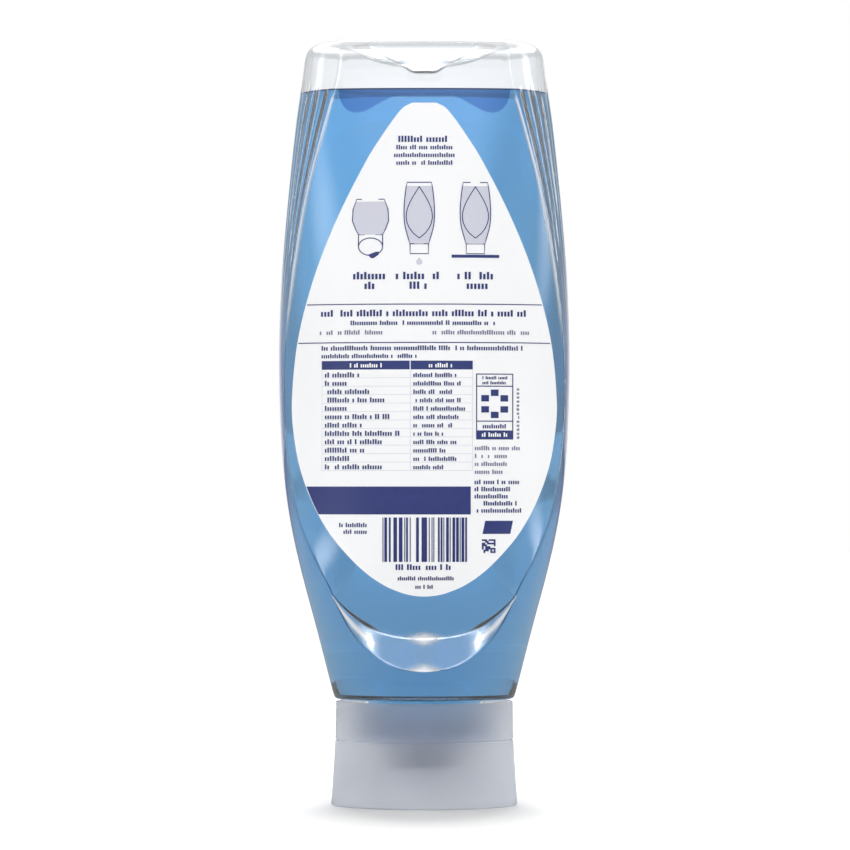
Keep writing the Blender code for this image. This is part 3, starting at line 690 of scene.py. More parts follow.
# Painted shade: two darker lobes hanging under the fill line, deeper away from the middle, on the labelled
# side only.
off_middle = add_node(tree, "ShaderNodeMath", {0: spot.outputs["X"]}, operation="ABSOLUTE")
lobe = add_node(tree, "ShaderNodeMapRange", {
    "Value": off_middle.outputs[0], "From Min": 8 * MM, "From Max": 20 * MM, "To Min": 2.1 * MM,
    "To Max": 6.8 * MM}, interpolation_type="SMOOTHSTEP")
past_lobe = add_node(tree, "ShaderNodeMapRange", {
    "Value": off_middle.outputs[0], "From Min": 20.5 * MM, "From Max": 25.5 * MM})
squared = add_node(tree, "ShaderNodeMath", {
    0: past_lobe.outputs[0], 1: past_lobe.outputs[0]}, operation="MULTIPLY")
left_over = add_node(tree, "ShaderNodeMath", {0: 1.0, 1: squared.outputs[0]}, operation="SUBTRACT")
round_end = add_node(tree, "ShaderNodeMath", {0: left_over.outputs[0]}, operation="SQRT")
hang = add_node(tree, "ShaderNodeMath", {0: lobe.outputs[0], 1: round_end.outputs[0], 2: spot.outputs["Z"]},
                operation="MULTIPLY_ADD")
lobe_shade = add_node(tree, "ShaderNodeMapRange", {
    "Value": hang.outputs[0], "From Min": FILL_Z - 0.3 * MM, "From Max": FILL_Z + 0.3 * MM})
lobe_mask = add_node(tree, "ShaderNodeMath", {
    0: lobe_shade.outputs[0], 1: facing.outputs[0]}, operation="MULTIPLY")
painted_shade_colour = add_node(tree, "ShaderNodeMix", {
    "Factor": lobe_mask.outputs[0], 6: painted_ledge_lines.outputs[2], 7: linear("#7692c6")}, data_type="RGBA")
shader = add_node(tree, "ShaderNodeBsdfPrincipled", {
    "Base Color": painted_shade_colour.outputs[2], "Roughness": 0.0, "IOR": 1.36,
    "Transmission Weight": clear_part.outputs[0]})
depth = add_node(tree, "ShaderNodeVolumeAbsorption", {"Color": (0.06, 0.615, 0.92, 1), "Density": 40.0})
add_node(tree, "ShaderNodeOutputMaterial", {"Surface": shader.outputs[0], "Volume": depth.outputs[0]})
soap.data.materials.append(dye)
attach(soap, "bottle")
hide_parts("liquid")


# Label: a white polypropylene film cut to a teardrop, with adhesive behind, pressed on to one panel of the
# bottle. It is cut flat and bends one way only, round the panel.
label_low, label_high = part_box("label")
LABEL_HALF = (label_high.x - label_low.x) / 2
LABEL_HEIGHT = label_high.z - label_low.z
LABEL_LIFT = 0.12 * MM
FILM = 0.12 * MM
LABEL_SHARES = (
    (0.000, 0.020), (0.0008, 0.057), (0.002, 0.090), (0.006, 0.156), (0.020, 0.285), (0.045, 0.427),
    (0.080, 0.566), (0.126, 0.709), (0.186, 0.836), (0.262, 0.940), (0.338, 0.990), (0.400, 1.000),
    (0.520, 0.954), (0.642, 0.837), (0.763, 0.661), (0.885, 0.431), (0.945, 0.289), (0.980, 0.194),
    (0.992, 0.150), (1.000, 0.090),
)
LABEL_ROWS = 120
LABEL_COLUMNS = 48


def on_panel(mesh, lift):
    """The mesh laid on the bottle's front panel, a small way off it."""
    piece = link_piece("laid", mesh)
    lay = piece.modifiers.new("lay", "SHRINKWRAP")
    lay.target = bottle
    lay.wrap_method = "PROJECT"
    lay.use_project_y = True
    lay.use_negative_direction = False
    lay.use_positive_direction = True
    lay.offset = lift
    lay.wrap_mode = "ON_SURFACE"
    return settled(piece)


def label_sheet():
    """The film cut flat, in rows that lie closer together at its foot and top."""
    build = bmesh.new()
    grid = []
    for row in range(LABEL_ROWS + 1):
        turn = math.pi * row / LABEL_ROWS
        share = (1 - math.cos(turn)) / 2
        reach = follow(LABEL_SHARES, share) * LABEL_HALF
        z = label_low.z + share * LABEL_HEIGHT
        grid.append([build.verts.new((reach * (2 * c / LABEL_COLUMNS - 1), -60 * MM, z))
                     for c in range(LABEL_COLUMNS + 1)])
    for lower, upper in zip(grid, grid[1:]):
        for c in range(LABEL_COLUMNS):
            build.faces.new((lower[c], lower[c + 1], upper[c + 1], upper[c]))
    mesh = bpy.data.meshes.new("label_sheet")
    build.to_mesh(mesh)
    build.free()
    return mesh


def grained_finish(name, grain_size, detail, light, dark, relief, look):
    """A finish with one fine noise in its tone and, where relief is (strength, depth), in its surface."""
    finish, tree = new_material(name)
    place = add_node(tree, "ShaderNodeTexCoord")
    grain = add_node(tree, "ShaderNodeTexNoise", {
        "Vector": place.outputs["Object"], "Scale": 1 / grain_size, "Detail": detail})
    tone = add_node(tree, "ShaderNodeMix", {
        "Factor": grain.outputs["Fac"], 6: linear(light), 7: linear(dark)}, data_type="RGBA")
    shader = add_node(tree, "ShaderNodeBsdfPrincipled", {"Base Color": tone.outputs[2], **look})
    if relief:
        bump = add_node(tree, "ShaderNodeBump", {
            "Strength": relief[0], "Distance": relief[1], "Height": grain.outputs["Fac"]})
        tree.links.new(bump.outputs[0], shader.inputs["Normal"])
    add_node(tree, "ShaderNodeOutputMaterial", {"Surface": shader.outputs[0]})
    return finish


label = link_piece("label_film", on_panel(label_sheet(), LABEL_LIFT))
film = label.modifiers.new("film", "SOLIDIFY")
film.thickness = FILM
film.offset = 1
label = link_piece("label_film", settled(label))
label.data.shade_smooth()
label.data.set_sharp_from_angle(angle=math.radians(40))
# Varnished white film: an even, softly glossy white. Its grain is finer than 0.1 mm on the real film, and
# is drawn at 1.1 mm so that it shows.
FILM_GRAIN = 1.11111 * MM
white_film = grained_finish("printed white film", FILM_GRAIN, 2.0, "#fbfbfc", "#f8f9fb", (0.05, 0.05 * MM),
                            {"Roughness": 0.38, "IOR": 1.49})
label.data.materials.clear()
label.data.materials.append(white_film)
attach(label, "bottle")
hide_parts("label")


# Print: screen-printed inks on the label, made here as fields and bars of colour with no words or signs.
# Small print is rows of letter-high blocks, and the three sketches show a plain bottle of this outline.
PRINT_LIFT = LABEL_LIFT + FILM + 0.06 * MM
OVERPRINT_LIFT = PRINT_LIFT + 0.02 * MM
FRONT_Y = -60 * MM
FIELD_STEP = 2 * MM
STROKE = 0.3 * MM
NAVY, GREY, TINT, PAPER = range(4)
LETTER_WIDTH_SHARE = 0.64
LETTER_PITCH_SHARE = 0.5
LETTER_FILL = 0.86
SHORT_LETTERS = 0.74
# Places and sizes on the label in mm, with heights from the floor.
RULES = (150.2, 138.8)
TABLE = (-30.6, 14.4, 133.4, 100.7)
TABLE_DIVIDER = -4.2
TABLE_HEADER = 2.6
TABLE_ROWS = 12
SKETCH_WIDENED = 1.12
PANEL_BOX = (15.4, 26.5, 129.6, 110.0)
BOX_LINES = (125.7, 115.3)
BOX_FOOT = 2.7
SPOTS_Z = 120.6
SPOTS_REACH = 3.3
SPOT_HALF = (1.15, 0.95)
STRIPE_WIDTH = 0.27
STRIPE_COUNT = 95
SQUARE_SIDE = 0.51
SQUARE_COUNT = 8
SKETCH_PLACES = (-1.5, 15.2)
SKETCH_FOOT = 165.2
SKETCH_HEIGHT = 21.2
BIG_BAR = (13.8, 96.0, 87.7)
# Each block of small print in mm: left, right, foot of the first line, lines, line pitch, letter height,
# alignment (0 left, 0.5 middle), how ragged its lines are, and its ink.
PRINT_BLOCKS = (
    (-7.9, 7.5, 198.4, 1, 2.0, 1.85, 0.5, 0.0, NAVY),
    (-9.8, 9.8, 196.2, 3, 2.3, 1.35, 0.5, 0.25, NAVY),
    (-21.4, -11.5, 157.6, 1, 2.9, 2.2, 0.5, 0.0, NAVY),
    (-18.0, -13.0, 154.7, 1, 2.9, 2.2, 0.5, 0.0, NAVY),
    (-8.7, 4.8, 157.6, 1, 2.9, 2.2, 0.5, 0.0, NAVY),
    (-4.6, 1.4, 154.7, 1, 2.9, 2.2, 0.5, 0.0, NAVY),
    (9.6, 21.1, 157.6, 1, 2.9, 2.2, 0.5, 0.0, NAVY),
    (12.4, 19.1, 154.7, 1, 2.9, 2.2, 0.5, 0.0, NAVY),
    (-31.0, 31.1, 146.6, 1, 2.0, 1.95, 0.5, 0.0, NAVY),
    (-22.1, 21.4, 144.0, 1, 2.0, 1.35, 0.5, 0.0, NAVY),
    (-31.3, -12.0, 141.2, 1, 2.0, 1.35, 0.0, 0.0, GREY),
    (2.3, 31.7, 141.2, 1, 2.0, 1.35, 0.0, 0.0, GREY),
    (-30.8, 29.6, 136.5, 1, 2.2, 1.4, 0.0, 0.0, NAVY),
    (-30.8, -1.9, 134.2, 1, 2.2, 1.3, 0.0, 0.0, NAVY),
    (-22.3, -12.1, 131.4, 1, 2.0, 1.3, 0.5, 0.0, PAPER),
    (1.2, 9.1, 131.4, 1, 2.0, 1.3, 0.5, 0.0, PAPER),
    (-29.8, -6.0, 128.5, 12, 2.49, 1.5, 0.0, 0.75, NAVY),
    (-3.4, 12.5, 128.5, 12, 2.49, 1.3, 0.0, 0.45, NAVY),
    (17.2, 24.8, 127.9, 2, 1.5, 0.95, 0.5, 0.15, NAVY),
    (16.6, 25.3, 113.3, 1, 1.5, 1.3, 0.5, 0.0, NAVY),
    (17.0, 24.9, 110.8, 1, 1.5, 1.3, 0.5, 0.0, PAPER),
    (27.5, 28.7, 124.6, 13, 1.2, 0.85, 0.0, 0.0, NAVY),
    (14.9, 29.2, 106.8, 4, 2.35, 1.3, 0.0, 0.4, GREY),
    (14.8, 30.8, 96.7, 5, 2.12, 1.35, 0.0, 0.4, NAVY),
    (-25.5, -16.8, 83.9, 2, 2.0, 1.3, 0.0, 0.1, NAVY),
    (-8.7, -0.9, 71.2, 1, 2.0, 1.7, 0.0, 0.0, NAVY),
    (0.3, 8.7, 71.2, 1, 2.0, 1.7, 0.0, 0.0, NAVY),
    (-8.6, 9.0, 68.1, 1, 2.0, 1.2, 0.5, 0.0, NAVY),
    (-2.8, 2.6, 65.6, 1, 2.0, 1.2, 0.5, 0.0, NAVY),
)
FLOAT, INTEGER, FINISH = "NodeSocketFloat", "NodeSocketInt", "NodeSocketMaterial"
PRINT_INPUTS = (
    ("Width", FLOAT), ("Lines", INTEGER), ("Line pitch", FLOAT), ("Letter height", FLOAT),
    ("Letter width", FLOAT), ("Letter pitch", FLOAT), ("Alignment", FLOAT), ("Raggedness", FLOAT),
    ("Fill", FLOAT), ("Short letters", FLOAT), ("Cuts", INTEGER), ("Seed", INTEGER), ("Ink", FINISH),
)
# The sums of the letter rows: name, operation and two terms, each a number, an input or an earlier sum.
LETTER_PLACES = (
    ("exact columns", "DIVIDE", "Width", "Letter pitch"),
    ("nudged columns", "ADD", "exact columns", 0.01),
    ("columns", "FLOOR", "nudged columns", 0.0),
    ("middle", "ADD", "index", 0.5),
    ("exact line", "DIVIDE", "middle", "columns"),
    ("line", "FLOOR", "exact line", 0.0),
    ("letters before", "MULTIPLY", "line", "columns"),
    ("column", "SUBTRACT", "index", "letters before"),
    ("left", "MULTIPLY", "column", "Letter pitch"),
    ("line seed", "ADD", "Seed", 1.0),
    ("gap seed", "ADD", "Seed", 2.0),
    ("height seed", "ADD", "Seed", 3.0),
)
LETTER_DRAWS = (
    ("line draw", "line", "line seed"), ("gap draw", "index", "gap seed"),
    ("height draw", "index", "height seed"),
)
LETTER_SHAPES = (
    ("shortening", "MULTIPLY", "line draw", "Raggedness"),
    ("spare", "MULTIPLY", "shortening", "Width"),
    ("start", "MULTIPLY", "spare", "Alignment"),
    ("moved width", "ADD", "Width", "start"),
    ("end", "SUBTRACT", "moved width", "spare"),
    ("right", "ADD", "left", "Letter pitch"),
    ("after start", "GREATER_THAN", "right", "start"),
    ("before end", "LESS_THAN", "left", "end"),
    ("inked", "LESS_THAN", "gap draw", "Fill"),
    ("in line", "MULTIPLY", "after start", "before end"),
    ("kept", "MULTIPLY", "in line", "inked"),
    ("is short", "LESS_THAN", "height draw", 0.65),
    ("short share", "SUBTRACT", 1.0, "Short letters"),
    ("loss", "MULTIPLY", "is short", "short share"),
    ("height share", "SUBTRACT", 1.0, "loss"),
    ("height", "MULTIPLY", "Letter height", "height share"),
    ("line drop", "MULTIPLY", "Line pitch", -1.0),
    ("foot", "MULTIPLY", "line", "line drop"),
    ("half pitch", "MULTIPLY", "Letter pitch", 0.5),
    ("letter x", "ADD", "left", "half pitch"),
    ("half height", "MULTIPLY", "height", 0.5),
    ("letter z", "ADD", "foot", "half height"),
    ("letters", "MULTIPLY", "columns", "Lines"),
)


def letter_rows_group():
    """Rows of blocks with random gaps between them, as small print looks from too far off to read."""
    tree = bpy.data.node_groups.new("letter rows", "GeometryNodeTree")
    for name, kind in PRINT_INPUTS:
        tree.interface.new_socket(name, in_out="INPUT", socket_type=kind)
    tree.interface.new_socket("Geometry", in_out="OUTPUT", socket_type="NodeSocketGeometry")
    given = add_node(tree, "NodeGroupInput").outputs

    value = {name: given[name] for name, kind in PRINT_INPUTS}
    value["index"] = add_node(tree, "GeometryNodeInputIndex").outputs[0]
    for sums, draws in ((LETTER_PLACES, LETTER_DRAWS), (LETTER_SHAPES, ())):
        for name, operation, first, second in sums:
            value[name] = add_node(tree, "ShaderNodeMath", {
                0: value.get(first, first), 1: value.get(second, second)}, operation=operation).outputs[0]
        for name, identity, seed in draws:
            value[name] = add_node(tree, "FunctionNodeRandomValue", {
                "ID": value[identity], "Seed": value[seed]}, data_type="FLOAT").outputs[1]
    spot = add_node(tree, "ShaderNodeCombineXYZ", {"X": value["letter x"], "Z": value["letter z"]})
    points = add_node(tree, "GeometryNodePoints", {"Count": value["letters"], "Position": spot.outputs[0]})
    block = add_node(tree, "GeometryNodeMeshGrid", {
        "Size X": 1.0, "Size Y": 1.0, "Vertices X": 2, "Vertices Y": given["Cuts"]})
    scale = add_node(tree, "ShaderNodeCombineXYZ", {
        "X": given["Letter width"], "Y": value["height"], "Z": 1.0})
    letters = add_node(tree, "GeometryNodeInstanceOnPoints", {
        "Points": points.outputs[0], "Selection": value["kept"], "Instance": block.outputs["Mesh"],
        "Rotation": (math.pi / 2, 0, 0), "Scale": scale.outputs[0]})
    real = add_node(tree, "GeometryNodeRealizeInstances", {"Geometry": letters.outputs[0]})
    inked_letters = add_node(tree, "GeometryNodeSetMaterial", {
        "Geometry": real.outputs[0], "Material": given["Ink"]})
    add_node(tree, "NodeGroupOutput", {"Geometry": inked_letters.outputs[0]})
    return tree


# Screen-printed inks: flat colour with the soft gloss of dried ink, that wavers where the coat is thinner.
# The mesh of the screen is too fine to show, so the coat is drawn with patches of 1.4 mm.
COAT_PATCH = 1.42857 * MM
INKS = [
    grained_finish(name, COAT_PATCH, 3.0, light, dark, None, {"Roughness": 0.42})
    for name, light, dark in (
        ("navy ink", "#16296c", "#102060"), ("grey ink", "#7b7f9b", "#6b6f8d"),
        ("pale tint", "#d1d2de", "#cbccda"), ("unprinted white", "#fbfbfc", "#f6f7f9"))]
LETTER_ROWS = letter_rows_group()


def lay_letters(build, corner, ink, seed, **inputs):
    """One block of letter rows, with its first line's foot at a corner (x, z)."""
    piece = link_piece("letters", bpy.data.meshes.new("letters"))
    rows = piece.modifiers.new("rows", "NODES")
    rows.node_group = LETTER_ROWS
    for name, value in (("Seed", seed), ("Ink", INKS[ink]), *inputs.items()):
        socket = LETTER_ROWS.interface.items_tree[name.replace("_", " ").capitalize()]
        rows[socket.identifier] = value
    mesh = settled(piece)
    first = len(build.faces)
    build.from_mesh(mesh)
    build.faces.ensure_lookup_table()
    for vertex in {v for face in build.faces[first:] for v in face.verts}:
        vertex.co += Vector((corner[0], FRONT_Y, corner[1]))
    for face in build.faces[first:]:
        face.material_index = ink


def lay_field(build, rows, ink):
    """A field of ink between rows of (height, left edge, right edge), cut into strips that can bend."""
    strips = max(1, math.ceil(max(right - left for z, left, right in rows) / FIELD_STEP))
    grid = []
    for z, left, right in rows:
        grid.append([build.verts.new((left + (right - left) * c / strips, FRONT_Y, z))
                     for c in range(strips + 1)])
    for lower, upper in zip(grid, grid[1:]):
        for c in range(strips):
            face = build.faces.new((lower[c], lower[c + 1], upper[c + 1], upper[c]))
            face.material_index = ink


def lay_box(build, left, right, low, high, ink):
    """An upright rectangle of ink."""
    steps = max(1, math.ceil((high - low) / FIELD_STEP))
    lay_field(build, [(low + (high - low) * k / steps, left, right) for k in range(steps + 1)], ink)


def lay_frame(build, left, right, low, high, ink):
    """Four strokes of ink round a rectangle."""
    lay_box(build, left, right, low, low + STROKE, ink)
    lay_box(build, left, right, high - STROKE, high, ink)
    lay_box(build, left, left + STROKE, low + STROKE, high - STROKE, ink)
    lay_box(build, right - STROKE, right, low + STROKE, high - STROKE, ink)


def lay_stroke(build, points, ink, closed=False):
    """A drawn line of ink along points (x, z)."""
    last = len(points) - 1
    sides = []
    for i, (x, z) in enumerate(points):
        before = points[i - 1] if i or closed else points[0]
        after = points[(i + 1) % len(points)] if i < last or closed else points[last]
        along = Vector((after[0] - before[0], after[1] - before[1])).normalized()
        side = Vector((-along.y, along.x)) * STROKE / 2
        sides.append((build.verts.new((x - side.x, FRONT_Y, z - side.y)),
                      build.verts.new((x + side.x, FRONT_Y, z + side.y))))
    pairs = list(zip(sides, sides[1:])) + ([(sides[-1], sides[0])] if closed else [])
    for (a, b), (c, d) in pairs:
        face = build.faces.new((a, c, d, b))
        face.material_index = ink


def label_reach(z):
    return follow(LABEL_SHARES, (z - label_low.z) / LABEL_HEIGHT) * LABEL_HALF


def ellipse_points(x, z, half_wide, half_high, steps=20):
    turns = [2 * math.pi * k / steps for k in range(steps)]
    return [(x + half_wide * math.cos(turn), z + half_high * math.sin(turn)) for turn in turns]


def sketch_bottle(under, over, x, foot, height):
    """A small drawing of a bottle of this outline, cap down: tint for the soap, strokes for its edges."""
    scale = height / bottle_high.z
    low = foot + SHOULDER_Z * scale
    shares = [k / 12 for k in range(13)]

    def reach(share):
        return half_width(SHOULDER_Z + share * BODY_HEIGHT) * scale * SKETCH_WIDENED

    drawn_soap = [(low + share * (foot + height - low) * 0.94, x - reach(share), x + reach(share))
                  for share in shares]
    lay_field(under, drawn_soap, TINT)
    sides = [(reach(share), low + share * (foot + height - low)) for share in shares]
    outline = [(x - w, z) for w, z in sides] + [(x + w, z) for w, z in reversed(sides)]
    lay_stroke(over, outline, NAVY, closed=True)
    panel = [(k / 10, math.sin(math.pi * (k / 10) ** 0.8)) for k in range(11)]
    rise = foot + height * 0.94 - low
    droop = [(w * reach(0.5) * 0.86, low + 0.1 * rise + 0.9 * rise * share) for share, w in panel]
    lay_stroke(over, [(x - w, z) for w, z in droop] + [(x + w, z) for w, z in reversed(droop)], NAVY)
    cap_reach = reach(0) * 0.97
    lay_stroke(over, [(x - cap_reach, low), (x - cap_reach, foot), (x + cap_reach, foot),
                      (x + cap_reach, low)], NAVY)


def print_meshes():
    """The lower and the upper coat of ink, still flat in front of the label."""
    under = bmesh.new()
    over = bmesh.new()
    for seed, row in enumerate(PRINT_BLOCKS):
        left, right, foot, lines, line_pitch, letter, alignment, ragged, ink = row
        pitch = letter * LETTER_PITCH_SHARE
        lay_letters(over, (left * MM, foot * MM), ink, seed * 10, width=(right - left) * MM, lines=lines,
            line_pitch=line_pitch * MM, letter_height=letter * MM,
            letter_width=pitch * LETTER_WIDTH_SHARE * MM, letter_pitch=pitch * MM, alignment=alignment,
            raggedness=ragged, fill=LETTER_FILL, short_letters=SHORT_LETTERS, cuts=2)
    for z in RULES:
        reach = label_reach(z * MM) - STROKE
        lay_box(over, -reach, reach, z * MM - STROKE / 2, z * MM + STROKE / 2, NAVY)
    # A ruled table of small print: two header fields, a hairline under each row and three upright ones.
    left, right, top, foot = (value * MM for value in TABLE)
    divider = TABLE_DIVIDER * MM
    header = top - TABLE_HEADER * MM
    lay_box(under, left, divider - STROKE / 2, header, top, NAVY)
    lay_box(under, divider + STROKE / 2, right, header, top, NAVY)
    hairline = STROKE / 3
    for row in range(1, TABLE_ROWS + 1):
        z = header - (header - foot) * row / TABLE_ROWS
        lay_box(under, left, right, z, z + hairline, TINT)
    for x in (left, divider, right - hairline):
        lay_box(under, x, x + hairline, foot, header, TINT)
    # A framed box beside the table, with a ring of six plain spots.
    left, right, top, foot = (value * MM for value in PANEL_BOX)
    lay_frame(over, left, right, foot, top, NAVY)
    lay_box(under, left + STROKE, right - STROKE, foot + STROKE, foot + BOX_FOOT * MM, NAVY)
    for z in (line * MM for line in BOX_LINES):
        lay_box(over, left + STROKE, right - STROKE, z, z + STROKE, NAVY)
    half_wide, half_high = (half * MM for half in SPOT_HALF)
    for turn in range(6):
        angle = math.pi / 6 + turn * math.pi / 3
        x = (left + right) / 2 + SPOTS_REACH * MM * math.cos(angle)
        z = SPOTS_Z * MM + SPOTS_REACH * MM * math.sin(angle)
        lay_box(under, x - half_wide, x + half_wide, z - half_high, z + half_high, NAVY)
    # Below: a broad bar along the label's edge, random stripes, and random squares over a slanted field.
    right, top, foot = (value * MM for value in BIG_BAR)
    bar = [foot + (top - foot) * k / 8 for k in range(9)]
    lay_field(under, [(z, -label_reach(z) + STROKE / 3, right) for z in bar], NAVY)
    stripe = STRIPE_WIDTH * MM
    lay_letters(over, (-12.7 * MM, 73.6 * MM), NAVY, 931, width=STRIPE_COUNT * stripe, lines=1,
        line_pitch=MM, letter_height=13.2 * MM, letter_width=stripe, letter_pitch=stripe, alignment=0.0,
        raggedness=0.0, fill=0.52, short_letters=1.0, cuts=10)
    square = SQUARE_SIDE * MM
    lay_letters(over, (17.1 * MM, 79.8 * MM), NAVY, 950, width=SQUARE_COUNT * SQUARE_SIDE * MM,
        lines=SQUARE_COUNT, line_pitch=square, letter_height=square, letter_width=square,
        letter_pitch=square, alignment=0.0, raggedness=0.0, fill=0.6, short_letters=1.0, cuts=2)
    lay_field(under, [(81.9 * MM, 17.3 * MM, 25.6 * MM), (85.8 * MM, 18.1 * MM, 26.4 * MM)], NAVY)
    # Three sketches: two upright bottles, one on a plain bar and one over a drop, and one tilted bottle.
    for x in SKETCH_PLACES:
        sketch_bottle(under, over, x * MM, SKETCH_FOOT * MM, SKETCH_HEIGHT * MM)
    lay_box(under, 8.1 * MM, 22.3 * MM, 164.0 * MM, 164.9 * MM, NAVY)
    drop = []
    for z in (k / 8 for k in range(9)):
        w = math.sqrt(max(0, 1 - ((z - 0.42) / 0.42) ** 2)) if z < 0.42 else (1 - z) / 0.58 * (1 + 0.3 * z)
        drop.append((161.8 * MM + z * 2.3 * MM, (-1.5 - 0.9 * w) * MM, (-1.5 + 0.9 * w) * MM))
    lay_field(under, drop, TINT)
    tilted = [(170.9, 3.6), (172.4, 4.4), (175.0, 5.4), (178.4, 5.2), (181.4, 4.1)]
    tilted_soap = [(z * MM, (-16 - w) * MM, (-16 + w) * MM) for z, w in tilted[:-1] + [(180.7, 4.3)]]
    lay_field(under, tilted_soap, TINT)
    lay_stroke(over, [((-16 - w) * MM, z * MM) for z, w in tilted] +
               [((-16 + w) * MM, z * MM) for z, w in reversed(tilted)], NAVY, closed=True)
    lay_stroke(over, ellipse_points(-16 * MM, 167.3 * MM, 3.6 * MM, 2.6 * MM), NAVY, closed=True)
    lay_stroke(over, [(-19.6 * MM, 167.6 * MM), (-19.6 * MM, 170.9 * MM)], NAVY)
    lay_stroke(over, [(-12.4 * MM, 167.6 * MM), (-12.4 * MM, 170.9 * MM)], NAVY)
    lay_field(over, [(163.9 * MM, -15.9 * MM, -15.1 * MM), (164.9 * MM, -16.8 * MM, -13.6 * MM),
                     (165.8 * MM, -14.4 * MM, -13.3 * MM)], NAVY)
    meshes = []
    for name, build in (("under print", under), ("over print", over)):
        mesh = bpy.data.meshes.new(name)
        build.to_mesh(mesh)
        build.free()
        for ink in INKS:
            mesh.materials.append(ink)
        meshes.append(mesh)
    return meshes


lower_coat, upper_coat = print_meshes()
for name, mesh, lift in (
        ("print_lower_coat", lower_coat, PRINT_LIFT), ("print_upper_coat", upper_coat, OVERPRINT_LIFT)):
    coat = link_piece(name, on_panel(mesh, lift))
    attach(coat, "bottle")


# Cap: one injection moulding in natural polypropylene, screwed on the neck; the bottle stands on its skirt.
# Its mould is spark eroded outside, which frosts the skirt, and polished inside. The dispensing tube hangs
# from its deck, and a threaded inner skirt rises from it.
CAP_TOP = cap_high.z
CAP_FOOT_RADIUS = (cap_high.x - cap_low.x) / 2
CAP_TOP_RADIUS = 26.7 * MM
CAP_WAIST = 26.9 * MM
CAP_STEP = 19.6 * MM
CAP_WALL = 1.2 * MM
CAP_EDGE = 0.4 * MM
DECK_Z = 18.4 * MM
DECK_WALL = 1.4 * MM
BORE_RADIUS = 18.3 * MM
TUBE_RADIUS = 8.6 * MM
TUBE_WALL = 1.3 * MM
TUBE_FOOT = 7.0 * MM
VALVE_LEDGE = 11.9 * MM
TURN_STEPS = 128


def turned(name, outline):
    """A closed profile at +X, running down its outer side, turned about the bottle's axis."""
    build = bmesh.new()
    verts = [build.verts.new((radius, 0, z)) for radius, z in outline]
    for first, second in zip(verts, verts[1:] + verts[:1]):
        build.edges.new((first, second))
    mesh = bpy.data.meshes.new(name)
    build.to_mesh(mesh)
    build.free()
    piece = link_piece(name, mesh)
    screw = piece.modifiers.new("turn", "SCREW")
    screw.steps = TURN_STEPS
    screw.render_steps = TURN_STEPS
    screw.use_merge_vertices = True
    screw.merge_threshold = 0.01 * MM
    piece = link_piece(name, settled(piece))
    piece.data.shade_smooth()
    piece.data.set_sharp_from_angle(angle=math.radians(35))
    return piece


def cap_outline():
    """The cap's section: down the outside, up inside the skirt, round the tube and the inner skirt."""
    flare = CAP_FOOT_RADIUS - CAP_WAIST
    groove = CAP_TOP_RADIUS - 0.2 * MM
    outline = [
        (CAP_TOP_RADIUS - CAP_EDGE, CAP_TOP),
        (CAP_TOP_RADIUS - 0.12 * MM, CAP_TOP - 0.12 * MM),
        (CAP_TOP_RADIUS, CAP_TOP - CAP_EDGE),
        (CAP_WAIST - 0.05 * MM, CAP_STEP + 0.35 * MM),
        (groove, CAP_STEP + 0.15 * MM),
        (groove, CAP_STEP),
        (CAP_WAIST, CAP_STEP - 0.2 * MM),
    ]
    steps = 8
    outer = [(CAP_WAIST + flare * (k / steps) ** 1.15, CAP_STEP * (1 - k / steps)) for k in range(1, steps)]
    outline += outer
    outline += [
        (CAP_FOOT_RADIUS, CAP_EDGE),
        (CAP_FOOT_RADIUS - 0.12 * MM, 0.12 * MM),
        (CAP_FOOT_RADIUS - CAP_EDGE, 0),
        (CAP_FOOT_RADIUS - CAP_WALL, 0),
        (CAP_FOOT_RADIUS - CAP_WALL - CAP_EDGE, CAP_EDGE),
    ]
    outline += [(radius - CAP_WALL, z) for radius, z in reversed(outer[1:])]
    under = DECK_Z - DECK_WALL
    tube = TUBE_RADIUS + TUBE_WALL
    hole = TUBE_RADIUS - 2.4 * MM
    inner_skirt = BORE_RADIUS + 1.7 * MM
    skirt_top = CAP_TOP - 1.1 * MM
    outline += [
        (CAP_WAIST - CAP_WALL - CAP_EDGE, under - CAP_EDGE),
        (CAP_WAIST - CAP_WALL - CAP_EDGE - DECK_WALL, under),
        (tube + DECK_WALL, under),
        (tube + DECK_WALL * 0.3, under - DECK_WALL * 0.3),
        (tube, under - DECK_WALL),
        (tube, TUBE_FOOT + CAP_EDGE),
        (tube - CAP_EDGE, TUBE_FOOT),
        (TUBE_RADIUS, TUBE_FOOT),
        (TUBE_RADIUS, VALVE_LEDGE),
        (hole, VALVE_LEDGE),
        (hole, under - DECK_WALL),
        (hole + 2 * DECK_WALL, DECK_Z),
        (BORE_RADIUS, DECK_Z),
        (BORE_RADIUS, skirt_top - CAP_EDGE),
        (BORE_RADIUS + CAP_EDGE, skirt_top),
        (inner_skirt - CAP_EDGE, skirt_top),
        (inner_skirt, skirt_top - CAP_EDGE),
        (inner_skirt, DECK_Z),
        (CAP_TOP_RADIUS - CAP_WALL, DECK_Z),
        (CAP_TOP_RADIUS - CAP_WALL, CAP_TOP - CAP_EDGE),
        (CAP_TOP_RADIUS - CAP_WALL + CAP_EDGE, CAP_TOP),
    ]
    return outline


cap = turned("cap_moulding", cap_outline())


# Natural polypropylene: milky and see-through. The spark-eroded outside scatters what lies behind it into a
# soft shade, and the polished inside hardly shows. The tube is painted with shade, a darker grey-blue, and
# the inner skirt round the neck with a painted blue light, as of light come through the soap. The eroded pits
# are finer than 0.1 mm, and are drawn as 0.7 mm so that they show; the milkiness clouds over 11 mm.
PIT = 0.714286 * MM
CLOUD = 11.1111 * MM


